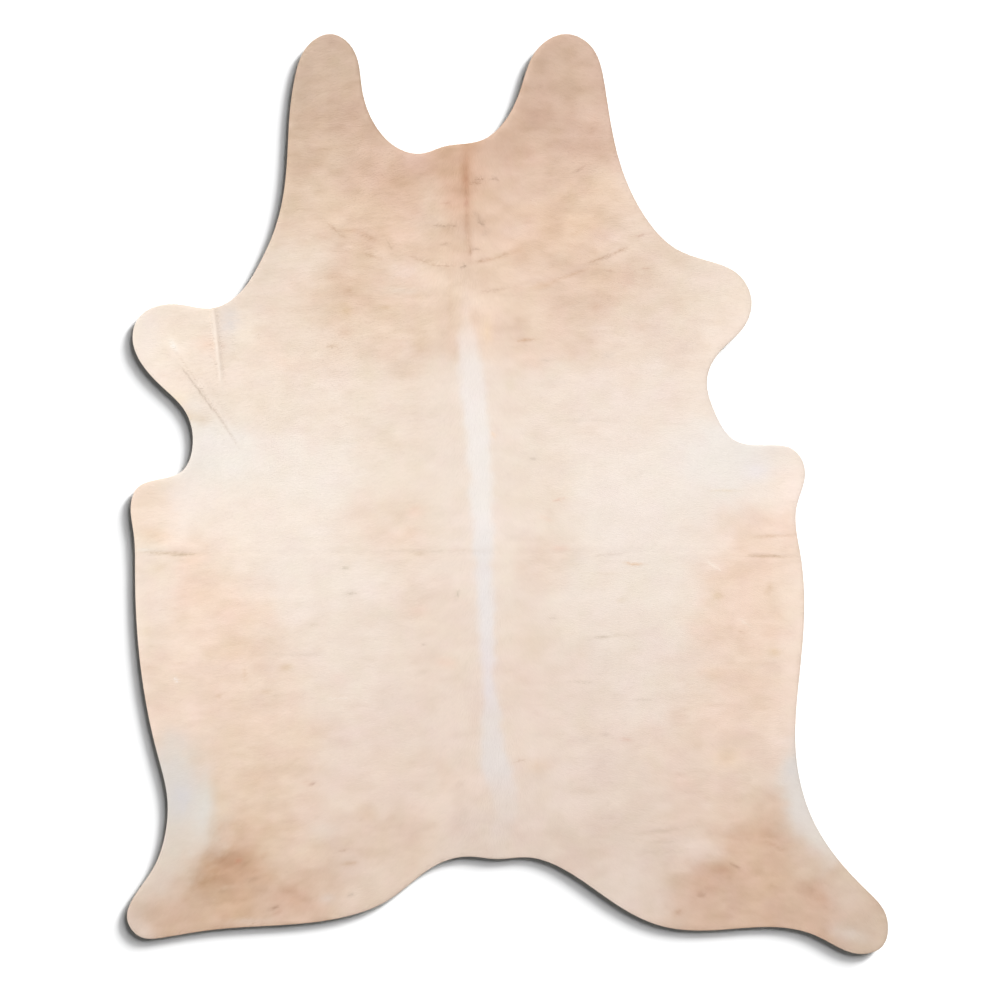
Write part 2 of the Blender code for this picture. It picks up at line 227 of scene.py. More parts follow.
# Tones of the coat as the studio light shows them. Between them the colour is their average,
# weighed by nearness: name, across, along, reach across, reach along (mm), colour.
TONES = (
    ("ear left", -440, 1060, 100, 120, "#d3b8a1"),
    ("ear right", 155, 1060, 110, 120, "#d4b49e"),
    ("ear left root", -430, 870, 110, 80, "#dcbfa8"),
    ("poll left", -290, 800, 100, 60, "#dcb9a2"),
    ("poll", -110, 810, 55, 90, "#d8b296"),
    ("poll right", 30, 800, 90, 60, "#e2c4ad"),
    ("ear right root", 190, 880, 90, 80, "#dab9a3"),
    ("neck left edge", -520, 700, 70, 110, "#e8cfb8"),
    ("neck left", -370, 690, 100, 60, "#e6c9af"),
    ("neck right", 170, 700, 120, 70, "#e6c7ad"),
    ("neck right edge", 300, 690, 60, 90, "#edd6c4"),
    ("neck middle", -110, 640, 220, 60, "#e6c6ae"),
    ("throat left", -540, 570, 90, 60, "#eedbca"),
    ("shoulder patch left", -400, 490, 100, 70, "#e6c9b1"),
    ("withers", -110, 500, 130, 60, "#edd2bc"),
    ("shoulder patch right", 180, 520, 110, 80, "#e3c6af"),
    ("throat right", 360, 520, 100, 90, "#e9d2bf"),
    ("foreleg left", -840, 380, 90, 90, "#f7e5d4"),
    ("foreleg left top", -720, 400, 60, 90, "#f6e4d4"),
    ("foreleg right", 530, 480, 100, 90, "#f1dfce"),
    ("shoulder left", -520, 400, 120, 90, "#f0dbc9"),
    ("shoulder blade left", -260, 390, 120, 60, "#e9cfb9"),
    ("shoulder blade right", 90, 390, 120, 60, "#e8cdb8"),
    ("shoulder right", 330, 390, 120, 80, "#eed9c8"),
    ("back, front", -90, 230, 320, 80, "#f0decf"),
    ("ribs left, front", -520, 220, 160, 80, "#f3e2d2"),
    ("ribs right, front", 340, 240, 140, 80, "#f2e1d3"),
    ("armpit left", -730, 110, 90, 60, "#f5ece3"),
    ("armpit right", 560, 100, 110, 70, "#f2e9e1"),
    ("chest band left", -480, 60, 190, 70, "#f5e8dc"),
    ("chest band right", 260, 50, 180, 70, "#f4e6da"),
    ("back, middle", -90, 60, 130, 80, "#f0dfd1"),
    ("flank left top", -890, -30, 70, 60, "#f6dfcb"),
    ("flank right top", 700, 20, 60, 70, "#f7e5d7"),
    ("belly band left", -660, -60, 150, 70, "#f7e7d9"),
    ("belly band right", 350, -60, 180, 80, "#f2e4d9"),
    ("back, saddle", -110, -130, 180, 80, "#f1e0d2"),
    ("barrel left", -470, -180, 140, 90, "#f4e5d8"),
    ("barrel right", 300, -220, 150, 100, "#f0e1d4"),
    ("flank patch left", -770, -250, 110, 110, "#f4dac6"),
    ("belly edge left", -890, -240, 50, 110, "#f5e4d4"),
    ("flank patch right", 610, -260, 100, 110, "#f0d5c1"),
    ("belly edge right", 715, -260, 40, 120, "#f4e0cf"),
    ("loin", -80, -330, 240, 90, "#eddccd"),
    ("flank left", -680, -480, 140, 120, "#eed5c1"),
    ("belly edge left, low", -850, -480, 60, 110, "#f2dac8"),
    ("barrel low left", -420, -430, 130, 90, "#eeddce"),
    ("barrel low right", 300, -430, 150, 90, "#ecdbce"),
    ("flank right", 590, -500, 110, 120, "#ebd1bd"),
    ("belly edge right, low", 700, -500, 40, 110, "#eed8c8"),
    ("croup", -60, -560, 260, 90, "#e8d4c5"),
    ("thigh top left", -600, -650, 140, 70, "#e6ccb6"),
    ("thigh top right", 520, -680, 130, 80, "#e6cfbe"),
    ("rump left", -330, -760, 160, 80, "#e7d1c1"),
    ("rump right", 250, -760, 180, 80, "#e5d1c3"),
    ("tail", -20, -880, 110, 60, "#dcc8b9"),
    ("stifle left", -830, -730, 60, 90, "#dfd7cf"),
    ("stifle right", 740, -740, 45, 90, "#ded6ce"),
    ("hind leg left, front", -790, -850, 60, 70, "#e2d4c6"),
    ("hind leg right, front", 800, -840, 50, 70, "#e2d8ce"),
    ("thigh left", -690, -950, 80, 55, "#ceaa8d"),
    ("thigh right", 640, -900, 90, 90, "#d5b49b"),
    ("hind leg left", -850, -1030, 70, 50, "#ceae96"),
    ("hind leg right", 780, -1010, 80, 60, "#cfaf98"),
    ("hind foot left", -930, -1070, 40, 50, "#decabb"),
    ("hind foot right", 900, -1090, 50, 50, "#cdb5a1"),
    ("thigh left, inner", -520, -980, 90, 60, "#d6b7a0"),
    ("thigh right, inner", 470, -1000, 90, 60, "#d2b39d"),
    ("buttock left", -370, -970, 90, 60, "#dfc9b7"),
    ("buttock right", 310, -960, 90, 60, "#e2cfc1"),
    ("ear left, inner", -400, 930, 70, 70, "#cfad95"),
    ("ear right, inner", 80, 1040, 40, 80, "#ceac95"),
    ("poll right, edge", 10, 880, 50, 50, "#dab9a2"),
    ("neck left, upper edge", -525, 820, 50, 80, "#dbbda4"),
    ("neck, left of the nape", -290, 730, 70, 50, "#dcb9a0"),
    ("foreleg left tip", -905, 390, 35, 70, "#fbeee2"),
    ("ribs left, upper", -290, 280, 90, 60, "#ecd6c2"),
    ("back left, middle", -290, 60, 80, 90, "#efdcc8"),
    ("back right, middle", 100, 20, 80, 90, "#eddac7"),
    ("flank left, shoulder", -810, 0, 50, 50, "#f9ece1"),
    ("saddle left", -280, -110, 80, 70, "#eed6c2"),
    ("flank right, upper", 630, -100, 80, 50, "#f2d8c4"),
    ("loin left", -190, -300, 80, 110, "#ebd4c2"),
    ("loin right", 20, -400, 60, 90, "#e8d1c0"),
    ("loin right, low", 160, -470, 80, 60, "#e8d4c5"),
    ("thigh left, upper", -590, -770, 80, 60, "#e4c9b2"),
    ("thigh left, top of the brown", -650, -850, 60, 40, "#dcbda4"),
    ("thigh left, pale", -525, -910, 50, 45, "#e5ccb6"),
    ("thigh right, upper", 500, -780, 90, 60, "#e1c7b3"),
    ("thigh right, pale", 450, -900, 45, 45, "#e5d0c0"),
    ("rump left, low", -330, -850, 90, 60, "#dcc2ae"),
    ("rump right, low", 300, -850, 90, 60, "#dcc7b7"),
    ("buttock right, low", 380, -1000, 50, 50, "#e0ccbd"),
    ("hock right", 760, -910, 40, 50, "#d7bca6"),
    ("saddle right", 90, -170, 70, 50, "#ead3c1"),
    ("thigh right, top of the brown", 590, -800, 60, 45, "#d9bda7"),
    ("tail right", 200, -900, 60, 40, "#dbc4b4"),
    ("neck, right of the nape", -60, 600, 50, 60, "#e6cab4"),
    ("ear right, outer edge", 220, 980, 40, 60, "#d9bba5"),
    ("hind foot right, heel", 840, -1000, 40, 40, "#d8c4b1"),
    ("hock left", -880, -985, 45, 45, "#e4d4c5"),
    ("neck right, upper", 245, 733, 50, 40, "#e4c6ac"),
    ("neck, left of the nape, low", -190, 685, 45, 60, "#e9d1bb"),
    ("flank patch left, upper edge", -705, -165, 45, 45, "#f7e7d7"),
    ("neck left, low", -342, 583, 45, 35, "#ecd0b8"),
    ("flank right, inner", 450, -466, 60, 50, "#e7d3c1"),
    ("withers right", 100, 500, 50, 45, "#ecd1bc"),
    ("croup left", -420, -655, 50, 60, "#ebd7c9"),
    ("belly band right, outer", 500, -95, 60, 40, "#f1ddcd"),
    ("poll right, low", 180, 805, 50, 35, "#e8cbb5"),
)

# The white stripe along the back, a row where it changes: along, across, width (mm), cover,
# colour. It opens out behind the withers and is brightest on the back, greyer behind the
# barrel fold, thin on the loin and wide again over the rump, where it fades.
STRIPE = (
    (560, -105, 12, 0.0, "#f2ddcf"),
    (430, -103, 24, 0.55, "#f3e0d2"),
    (395, -102, 46, 0.8, "#f3e2d6"),
    (340, -94, 58, 0.9, "#f1e6df"),
    (250, -85, 72, 0.9, "#f3e9e3"),
    (150, -76, 54, 0.95, "#f3ebe5"),
    (-60, -62, 50, 0.95, "#f3ebe5"),
    (-150, -60, 46, 0.95, "#ece4e0"),
    (-310, -53, 40, 1.0, "#ece4e0"),
    (-440, -48, 34, 1.0, "#e9dedc"),
    (-500, -45, 36, 0.95, "#e7dddb"),
    (-550, -40, 46, 0.85, "#e5dbd6"),
    (-640, -38, 64, 0.95, "#e5dbd6"),
    (-690, -24, 80, 0.95, "#e4dad5"),
    (-750, -10, 66, 0.6, "#e3d7d0"),
    (-800, -3, 60, 0.4, "#e1d4cb"),
    (-900, -22, 30, 0.2, "#dccdc0"),
)

# Marks in the coat: brown hair in lines, flecks and patches, pale scars and the border of
# the white on the thigh. Some are painted light: painted shade in the foreleg's crease, along
# the barrel fold, in the wrinkles of the neck, flank and rump and beside the foreleg's pinch,
# and painted highlights on the pinch's ridge and on the lips of the foreleg crease and the
# barrel fold. Half length and half width are in mm, and the turn is in degrees from the line
# across the body, anticlockwise.
# Each name is followed by its marks: across, along, half length, half width, turn, colour,
# cover
MARKS = (
    ("foreleg patch", (-752, 376, 26, 22, 0, "#f5d6c0", 0.6)),
    ("foreleg patch, grey", (-752, 419, 22, 10, 0, "#ecdac8", 0.5)),
    # Painted shade: the cooler, darker shade where the skin falls away to the right of the
    # foreleg's pinch ridge, and a darker spot of it lower down.
    ("foreleg fall", (-696, 431, 38, 24, 90, "#e6dfdc", 0.7)),
    ("foreleg fall, low", (-697, 371, 30, 20, 90, "#ebddd0", 0.4)),
    ("foreleg fall, spot", (-711, 372, 9, 9, 0, "#e0c5b3", 0.6)),
    # Painted highlight along the crest of the foreleg's pinch ridge.
    ("foreleg pinch", (-730, 381, 84, 4, -82, "#fff4e8", 0.6)),
    # Painted shade: the dark line in the bottom of the foreleg's crease, and its fading end.
    ("foreleg crease", (-771, 258, 78, 3, -53, "#cfbdac", 0.8)),
    ("foreleg crease, end", (-701, 162, 45, 2.5, -56, "#dccdbe", 0.6)),
    # Painted highlight on the crease's upper lip.
    ("foreleg crease, lip", (-836, 372, 16, 5, -60, "#fffaf2", 0.8)),
    ("foreleg back", (-792, 194, 40, 16, 0, "#e8d0b6", 0.6)),
    ("foreleg back, spot", (-760, 186, 20, 12, 0, "#decab0", 0.55)),
    ("foreleg back, cream", (-819, 240, 20, 16, 0, "#fae7cf", 0.6)),
    ("shoulder star", (-624, 394, 8, 3, 80, "#d2bea9", 0.6)),
    ("shoulder blush", (-553, 327, 40, 20, 0, "#f3d7c3", 0.5)),
    ("shoulder line", (-441, 370, 14, 2.5, 0, "#d5b79e", 0.5)),
    ("nape blush", (-125, 748, 56, 44, 90, "#dbb297", 0.45)),
    ("nape line", (-104, 806, 84, 14, 90, "#c99a79", 0.65)),
    ("nape line, dark", (-104, 790, 44, 9, 90, "#be8a69", 0.6)),
    ("nape line, thin", (-101, 714, 60, 7, 90, "#c4987c", 0.6)),
    ("nape line, low", (-97, 640, 54, 7, 90, "#cba388", 0.5)),
    ("nape line, end", (-93, 609, 16, 3, 90, "#c4a086", 0.6)),
    ("nape edge, left", (-143, 476, 78, 8, 90, "#e0bfa4", 0.45)),
    ("nape hair",
     (-71, 788, 14, 2.4, 0, "#a88268", 0.75),
     (-31, 787, 13, 2.4, -16, "#a98871", 0.65),
     (-82, 777, 16, 2.4, 0, "#b1866b", 0.65),
     (-150, 766, 16, 4, 0, "#cba186", 0.5),
     (-155, 729, 14, 3, 0, "#caa188", 0.55),
     (-103, 729, 6, 4, 0, "#ad7761", 0.75),
     (-157, 671, 29, 2.2, 0, "#b99a84", 0.65),
     (-159, 625, 12, 2.6, 0, "#c3a28a", 0.6),
     (-82, 612, 11, 2.6, 0, "#b4957f", 0.6),
     (-111, 569, 7, 3, 15, "#967a67", 0.7)),
    ("nape whorl", (-65, 677, 9, 3, -35, "#9a7f69", 0.7)),
    ("nape whorl, soft", (-70, 689, 17, 7, -50, "#b99c85", 0.5)),
    ("nape whorl, low", (-55, 651, 13, 5, 40, "#b59c88", 0.55)),
    # Painted shade: darker tan lines along the creases of the neck's wrinkles.
    ("neck wrinkle",
     (-427, 658, 37, 2.4, -42, "#c5a287", 0.6),
     (-394, 659, 23, 5, 0, "#d9b596", 0.55),
     (-352, 645, 24, 4, -31, "#d0aa8b", 0.65),
     (-340, 596, 31, 3, -19, "#d5b498", 0.6),
     (-296, 624, 14, 2.4, -61, "#caae96", 0.55),
     (-212, 584, 38, 3, -20, "#ccaa8e", 0.65),
     (-152, 571, 26, 2.6, 0, "#c8a58b", 0.6),
     (-52, 586, 29, 3.5, 10, "#caa285", 0.65),
     (-12, 597, 15, 3, 24, "#cfa98c", 0.6),
     (19, 608, 21, 6, 13, "#dab597", 0.6),
     (-37, 509, 31, 2.6, 8, "#c9a890", 0.65),
     (85, 520, 27, 7, 14, "#dfbb9b", 0.65),
     (152, 546, 50, 3.5, 20, "#d3b091", 0.6),
     (232, 589, 34, 3, 20, "#caa68b", 0.7),
     (280, 609, 20, 3, 29, "#cfab8e", 0.6),
     (330, 646, 11, 3, 18, "#d5af9c", 0.6)),
    ("neck hair",
     (180, 813, 18, 2.6, 31, "#c4a189", 0.6),
     (169, 652, 13, 4, 20, "#cfa685", 0.6),
     (252, 559, 8, 3.5, 0, "#caa18b", 0.6),
     (347, 565, 9, 3, 10, "#d2aa98", 0.6)),
    ("poll patch, brown", (-272, 784, 46, 32, 30, "#d8b296", 0.5)),
    ("poll patch, right", (35, 834, 60, 30, 0, "#d5b199", 0.5)),
    ("neck patch, rose", (-262, 560, 54, 36, 0, "#f0dacc", 0.6)),
    ("neck patch, grey", (-257, 509, 62, 11, 0, "#eadccb", 0.45)),
    ("neck patch, pale", (-245, 635, 22, 18, 0, "#eccfbc", 0.4)),
    ("neck patch, middle", (12, 660, 40, 20, 10, "#ecd0bf", 0.55)),
    ("neck patch, yellow", (165, 685, 58, 28, 0, "#eecdb1", 0.4)),
    ("neck patch, rosy", (264, 644, 58, 30, 20, "#ead0c2", 0.5)),
    ("shoulder patch",
     (-385, 524, 42, 22, 35, "#dfbfa2", 0.5),
     (-397, 504, 10, 8, 0, "#cca889", 0.6),
     (-403, 461, 24, 12, 90, "#dab794", 0.55),
     (-406, 404, 18, 13, 0, "#ddbea2", 0.55),
     (-437, 546, 26, 19, 0, "#e1c1a4", 0.5),
     (-305, 467, 11, 4, 0, "#cca980", 0.6),
     (262, 532, 92, 44, 10, "#e1c1aa", 0.7),
     (222, 469, 9, 8, 0, "#cfab8f", 0.55),
     (188, 451, 42, 18, 10, "#e1c3aa", 0.45),
     (325, 424, 28, 22, 0, "#eccfbf", 0.45)),
    ("withers patch, left", (-222, 376, 36, 18, 90, "#e1c4a9", 0.55)),
    ("withers patch, orange", (-50, 411, 34, 14, 90, "#f3d4b4", 0.65)),
    ("withers patch, rose", (35, 346, 42, 14, 0, "#f1d4c3", 0.55)),
    ("withers hair", (46, 385, 24, 3.5, 8, "#d6ae8e", 0.65)),
    ("back patch",
     (8, 274, 24, 12, 90, "#e8d6bf", 0.55),
     (-295, 159, 28, 24, 0, "#e7d7c1", 0.55),
     (-230, -44, 23, 16, 30, "#f2d1bf", 0.6),
     (-260, -101, 40, 18, 0, "#f2d6c2", 0.55),
     (12, -110, 14, 10, 0, "#dfcfbe", 0.55),
     (130, -136, 18, 6, 0, "#eecdbb", 0.6),
     (174, -151, 14, 10, 0, "#e2d2c5", 0.5)),
    ("back hair",
     (95, 334, 13, 3, 0, "#d6c2ae", 0.55),
     (252, 346, 13, 8, 0, "#dccbbd", 0.55),
     (202, 185, 58, 4, 0, "#e0d0c0", 0.5),
     (65, 88, 9, 3, 0, "#d1c1b1", 0.6),
     (-35, 151, 9, 5, 90, "#f6d7b6", 0.7),
     (103, -41, 11, 7, 0, "#dcc3b2", 0.5),
     (126, -14, 17, 3, 15, "#eac6b3", 0.6),
     (95, -60, 15, 5, -20, "#eecbb6", 0.6),
     (-222, -149, 14, 5, 0, "#d6c1a9", 0.6)),
    # Painted shade: darker lines and a spot along the barrel fold's crease.
    ("barrel fold, left end", (-840, -148, 64, 3, -2, "#d2ba9e", 0.65)),
    ("barrel fold, dark", (-813, -152, 30, 3, 2, "#c4ad90", 0.6)),
    # Painted highlight on the barrel fold's lip.
    ("barrel fold, lip", (-911, -139, 18, 3, 0, "#fcf1e4", 0.7)),
    ("barrel fold, middle", (-190, -141, 130, 3, 0, "#dfccb8", 0.35)),
    ("barrel fold, right", (255, -150, 44, 3.5, 5, "#dfcec1", 0.55)),
    ("barrel fold, right end", (647, -155, 50, 3.5, -1, "#d5b89b", 0.7)),
    ("barrel fold, spot", (663, -156, 10, 3.5, 0, "#c4a68a", 0.6)),
    # Painted shade along the flank wrinkle's crease.
    ("flank wrinkle", (662, -105, 44, 3, 2, "#dcbda1", 0.65)),
    ("flank patch",
     (-872, -104, 42, 18, -10, "#f6d9be", 0.6),
     (-780, -74, 62, 26, 0, "#faeada", 0.5),
     (-790, -169, 30, 16, 20, "#f5d5bc", 0.55),
     (-780, -256, 50, 36, 0, "#f6d6c0", 0.4),
     (-702, -299, 40, 34, 0, "#f2d1bf", 0.45),
     (-677, -389, 46, 28, 0, "#eaccb1", 0.55),
     (-872, -186, 24, 20, 0, "#f2dfc2", 0.55),
     (-905, -344, 52, 20, 90, "#f8e4ca", 0.5),
     (-416, -459, 26, 16, 0, "#edd2c5", 0.55)),
    ("flank hair",
     (-657, -449, 15, 4, 90, "#d8b390", 0.65),
     (-553, -433, 14, 6, 15, "#dabd9c", 0.55),
     (-607, -493, 13, 6, 0, "#debf9f", 0.55),
     (-719, -503, 13, 4, 15, "#d6b799", 0.6),
     (-404, -184, 12, 3, 0, "#c8baa8", 0.65),
     (-391, -248, 14, 3.5, 0, "#cfbfad", 0.6),
     (-482, -326, 10, 3, 0, "#d8c6b3", 0.6),
     (-512, -401, 44, 3, 0, "#dccbb9", 0.55)),
    ("flank scar",
     (-829, -464, 10, 3, -50, "#fcf2ed", 0.7),
     (-420, -511, 28, 2.2, 0, "#f6eade", 0.6),
     (516, -179, 24, 3, -37, "#fcefe0", 0.7),
     (593, -321, 17, 2.6, -30, "#f9e8d8", 0.6)),
    ("flank patch",
     (696, -74, 42, 24, 90, "#f6d7c2", 0.55),
     (489, -343, 36, 28, 0, "#f0d2c3", 0.6),
     (522, -446, 46, 16, 0, "#e8c9b0", 0.55),
     (587, -198, 52, 28, 0, "#f3d4c0", 0.55),
     (625, 59, 32, 22, 0, "#f1e9e9", 0.65)),
    ("flank hair",
     (317, -174, 21, 3, -3, "#e9c099", 0.65),
     (250, -198, 50, 4, 0, "#e4d3be", 0.5),
     (526, -254, 9, 7, 0, "#d4b895", 0.7),
     (652, -236, 14, 5, 80, "#d9b997", 0.65),
     (668, -395, 13, 10, 0, "#dcbd97", 0.6),
     (285, -264, 9, 6, 0, "#dbc8ae", 0.55),
     (588, -345, 7, 4, 0, "#cba98f", 0.65),
     (555, -334, 13, 5, 0, "#dcc0a5", 0.5),
     (432, -384, 11, 6, 90, "#d6c8b8", 0.5),
     (257, -356, 50, 4, 5, "#dac9b7", 0.55),
     (235, -356, 19, 3, 0, "#cfbdab", 0.5),
     (547, 9, 42, 3, 0, "#eedcc6", 0.55)),
    ("loin patch",
     (-152, -421, 25, 13, -10, "#ecc9b6", 0.65),
     (-220, -291, 25, 14, 0, "#f2d5c5", 0.55),
     (195, -613, 27, 12, 0, "#d9c4b6", 0.55),
     (75, -679, 36, 18, 0, "#dfc2ab", 0.55),
     (-161, -701, 32, 24, 90, "#e5ccbb", 0.5)),
    ("loin hair",
     (-215, -448, 15, 5, 15, "#d6c2af", 0.55),
     (-210, -376, 9, 3, 0, "#cfbba9", 0.6),
     (-125, -249, 8, 2.6, 90, "#c4b6a2", 0.65),
     (111, -309, 11, 3.5, 0, "#d8c6b5", 0.6),
     (182, -469, 38, 3, -2, "#d6c5b5", 0.55),
     (334, -514, 28, 3, 0, "#d6c5b6", 0.55),
     (297, -615, 12, 4, 0, "#d1a391", 0.7),
     (250, -604, 13, 4, -15, "#c9b5a6", 0.6),
     (30, -666, 15, 3, 15, "#cbb099", 0.6),
     (75, -599, 13, 7, 0, "#d8c8b9", 0.5),
     (187, -741, 17, 7, 0, "#d5c1b0", 0.5),
     (-117, -724, 10, 4, 0, "#d1baa9", 0.6)),
    # Painted shade along the creases of the rump's wrinkles.
    ("rump wrinkle, upper", (398, -841, 70, 4.5, 7, "#c9b5a1", 0.6)),
    ("rump wrinkle, middle", (398, -869, 34, 3, 3, "#d2bfae", 0.45)),
    ("rump wrinkle, lower", (398, -896, 46, 4, 3, "#ccb7a5", 0.55)),
    ("stifle left, blue", (-815, -761, 46, 30, 90, "#dad5d6", 0.75)),
    ("stifle left, white", (-766, -800, 56, 22, 90, "#e1dcd6", 0.8)),
    ("stifle left, white edge", (-754, -792, 76, 9, 90, "#e2dbd3", 0.75)),
    ("stifle left, border", (-716, -782, 66, 14, 90, "#e5ccb5", 0.7)),
    ("thigh patch",
     (-636, -716, 46, 28, 0, "#e5c9ae", 0.6),
     (-505, -721, 21, 4, -10, "#dbb7a1", 0.5),
     (-742, -945, 58, 28, 38, "#b8906a", 0.75),
     (-700, -916, 44, 24, 30, "#c39a79", 0.6),
     (-650, -950, 62, 32, 0, "#c9a283", 0.6),
     (-535, -1010, 56, 34, -10, "#c69e82", 0.65)),
    ("thigh patch, brown edge", (-745, -905, 44, 18, 62, "#c8a182", 0.6)),
    ("thigh patch, upper left", (-715, -843, 36, 32, 0, "#d3af95", 0.6)),
    ("thigh tuft",
     (-690, -890, 20, 5, 55, "#c39c7c", 0.5),
     (-655, -925, 16, 5, 40, "#bd9474", 0.5),
     (-760, -972, 26, 9, 15, "#b88f6a", 0.5),
     (-612, -905, 22, 6, 60, "#d0ab8f", 0.5),
     (-540, -985, 24, 6, 30, "#bf967b", 0.5),
     (-500, -1035, 22, 6, 15, "#c29c82", 0.5),
     (-575, -1045, 18, 5, 35, "#c39b80", 0.5),
     (-705, -985, 26, 6, 10, "#dcc0a8", 0.5),
     (-618, -980, 30, 7, 0, "#dcbfa8", 0.5),
     (-800, -1010, 18, 7, 40, "#c9a78c", 0.5),
     (-826, -1062, 22, 6, 5, "#c8a48b", 0.45),
     (-765, -1060, 26, 6, 0, "#caa68c", 0.45)),
    ("thigh patch",
     (-355, -799, 22, 16, 0, "#e1c5ae", 0.5),
     (-453, -840, 35, 22, 0, "#e5d6ca", 0.55),
     (-450, -1010, 19, 12, 0, "#dfd0c7", 0.65),
     (-864, -1031, 30, 22, 0, "#d4b39c", 0.5),
     (-652, -1069, 62, 8, 2, "#dbc8bb", 0.5)),
    ("thigh hair",
     (-488, -724, 5, 3, 0, "#b8937f", 0.6),
     (-636, -962, 18, 4.5, 8, "#a38266", 0.7),
     (-672, -916, 7, 5, 0, "#d08f70", 0.6),
     (-582, -1033, 13, 3.5, 20, "#ad8a72", 0.65),
     (-395, -923, 21, 4, 5, "#c5a07d", 0.7),
     (-412, -890, 9, 3, 0, "#bd9d86", 0.6),
     (-391, -1001, 9, 3.5, 0, "#b4a192", 0.6)),
    ("stifle right, blue", (708, -691, 30, 20, 90, "#d9d3d1", 0.75)),
    ("stifle right, white", (728, -790, 46, 26, 90, "#e2dbd6", 0.65)),
    ("hock right, white", (787, -865, 46, 22, -50, "#e1d7ce", 0.65)),
    ("hock right, cream", (846, -948, 30, 16, -45, "#dfcdb7", 0.55)),
    ("hock right, tan", (892, -1001, 22, 14, -50, "#dcc9b6", 0.5)),
    ("thigh patch",
     (640, -850, 36, 26, 15, "#cda88d", 0.5),
     (600, -850, 60, 30, 20, "#d2af97", 0.5),
     (490, -973, 46, 34, 0, "#caa286", 0.6),
     (772, -1001, 42, 26, -35, "#c49b80", 0.6),
     (540, -939, 52, 14, -10, "#c9a187", 0.6),
     (859, -1101, 50, 16, -15, "#dccfc5", 0.6),
     (930, -1071, 24, 14, 90, "#d3baa2", 0.5),
     (432, -720, 36, 24, 0, "#ebccbc", 0.55),
     (547, -661, 42, 26, 0, "#ebceb4", 0.55)),
    ("thigh hair",
     (665, -879, 29, 4, -24, "#be957b", 0.6),
     (485, -1001, 7, 5, 0, "#a27b61", 0.7),
     (762, -989, 7, 5, 0, "#ab8268", 0.6),
     (569, -930, 15, 3.5, -30, "#a7836b", 0.6),
     (422, -1047, 12, 8, 30, "#bd977c", 0.7),
     (432, -699, 10, 4, 0, "#c2a28e", 0.6)),
)
MARK_ROWS = [mark for _, *marks in MARKS for mark in marks]

MARK_REACH = 2.3  # in half sizes: past this a mark is too faint to see

# How the borders wander, in mm: shift, size of the waves, seed
TONE_WANDER = ((22, 60, 41), (9, 18, 43))
STRIPE_WANDER = ((5, 16, 31), (5, 45, 32))
STRIPE_FADE = 4  # width over which the stripe's edge fades, in mm
MARK_WANDER = (2.2, 9, 33)
MOTTLE_WANDER = (4, 9, 71)
MARK_COVER = 0.85  # share of a mark's cover on the whole
MARK_GRAIN = (0.3, 7, 35)  # how much single hairs vary it

# Mottling: what it changes, its look, share of the change, cell (mm), seed, stretch of the cell
MOTTLE = (
    ("light", "waves", 0.028, 52, 61, (1.3, 1.0)),
    ("light", "patches", 0.028, 23, 62, (1.7, 1.0)),
    ("light", "streaks", 0.026, 8, 63, (2.6, 1.0)),
    ("light", "flecks", 0.090, 11, 64, (2.4, 0.8)),
    ("rosy", "waves", 0.014, 60, 65, (1.0, 1.0)),
    ("rosy", "waves", 0.018, 27, 66, (1.0, 1.0)),
    ("warm", "waves", 0.016, 75, 67, (1.0, 1.0)),
    ("warm", "waves", 0.020, 31, 68, (1.0, 1.0)),
)
PATCH_CONTRAST = 2.5  # the higher, the sharper the borders of the patches
FLECK_LEVEL = 0.5  # flecks show where their noise is above this

# With brownness from 0, white, to 1: light changes by this times it less this, or by the least
LIGHT_BY_BROWNNESS, LIGHT_LESS, LIGHT_LEAST = 5.6, 0.9, 0.3
HUE_BY_BROWNNESS, HUE_LEAST = 1.4, 0.2
RED_POWER, BLUE_POWER = 0.8, 1.3  # how the light changes red and blue, beside green
ROSY_RED, ROSY_GREEN = 0.3, 0.7  # rosy adds so much red and takes so much green

# The hair is combed outwards by 1 beside the spine and tailwards by these.
TAILWARDS = 0.25
TAILWARDS_ON_SPINE = 0.7
TAILWARDS_ON_HAUNCH = 0.5
SPINE_REACH = 110 * MM
HAUNCH_START = -0.60  # metres along, from where the haunch comes in
HAUNCH_EASE = 0.35  # over this length
LAY_WANDER = (0.30, 90, 21)  # radians, cell (mm), seed

# The hair lies on the skin in flat pointed locks. Real ones are a few hairs wide: these are as
# coarse as it takes to show them.
LOCK_SPACING = 4.4 * MM
LOCK_INSET = 1.0 * MM  # the outermost roots stand this far inside the outline
LOCK_LENGTH = 15 * MM
LOCK_WIDTH = 2.8 * MM
LOCK_WIDEST = 0.4  # share of its length at which a lock is widest
LOCK_RISE = 0.3 * MM
LOCK_SINK = 0.4  # share of the rise by which its widest points lie in the coat
LOCK_TURN = 0.13  # how unevenly they are combed, in radians
LOCK_SHADE = 0.012  # how much they differ in light
LOCK_BRIDGE = 0.3 * MM  # one that would bridge a deeper hollow than this is shorter
LOCK_SHORTEST = 0.25  # but no shorter than this share of its length
LOCK_EDGE_SHARE = 0.95  # one that would cross the edge ends at this share of the way there
LOCK_SHORTEST_AT_EDGE = 0.12
STRAND_SHEET = 400  # side of the square (mm) over which the locks are strewn in their map
PLAN_BORDER = 0.002  # left bare round the map of a piece in plan, as a share of its side

# Corners of a lock's four triangles, by the numbers of its points, all facing outwards
LOCK_FACES = np.array([[0, 3, 1], [0, 2, 3], [0, 1, 2], [3, 2, 1]])

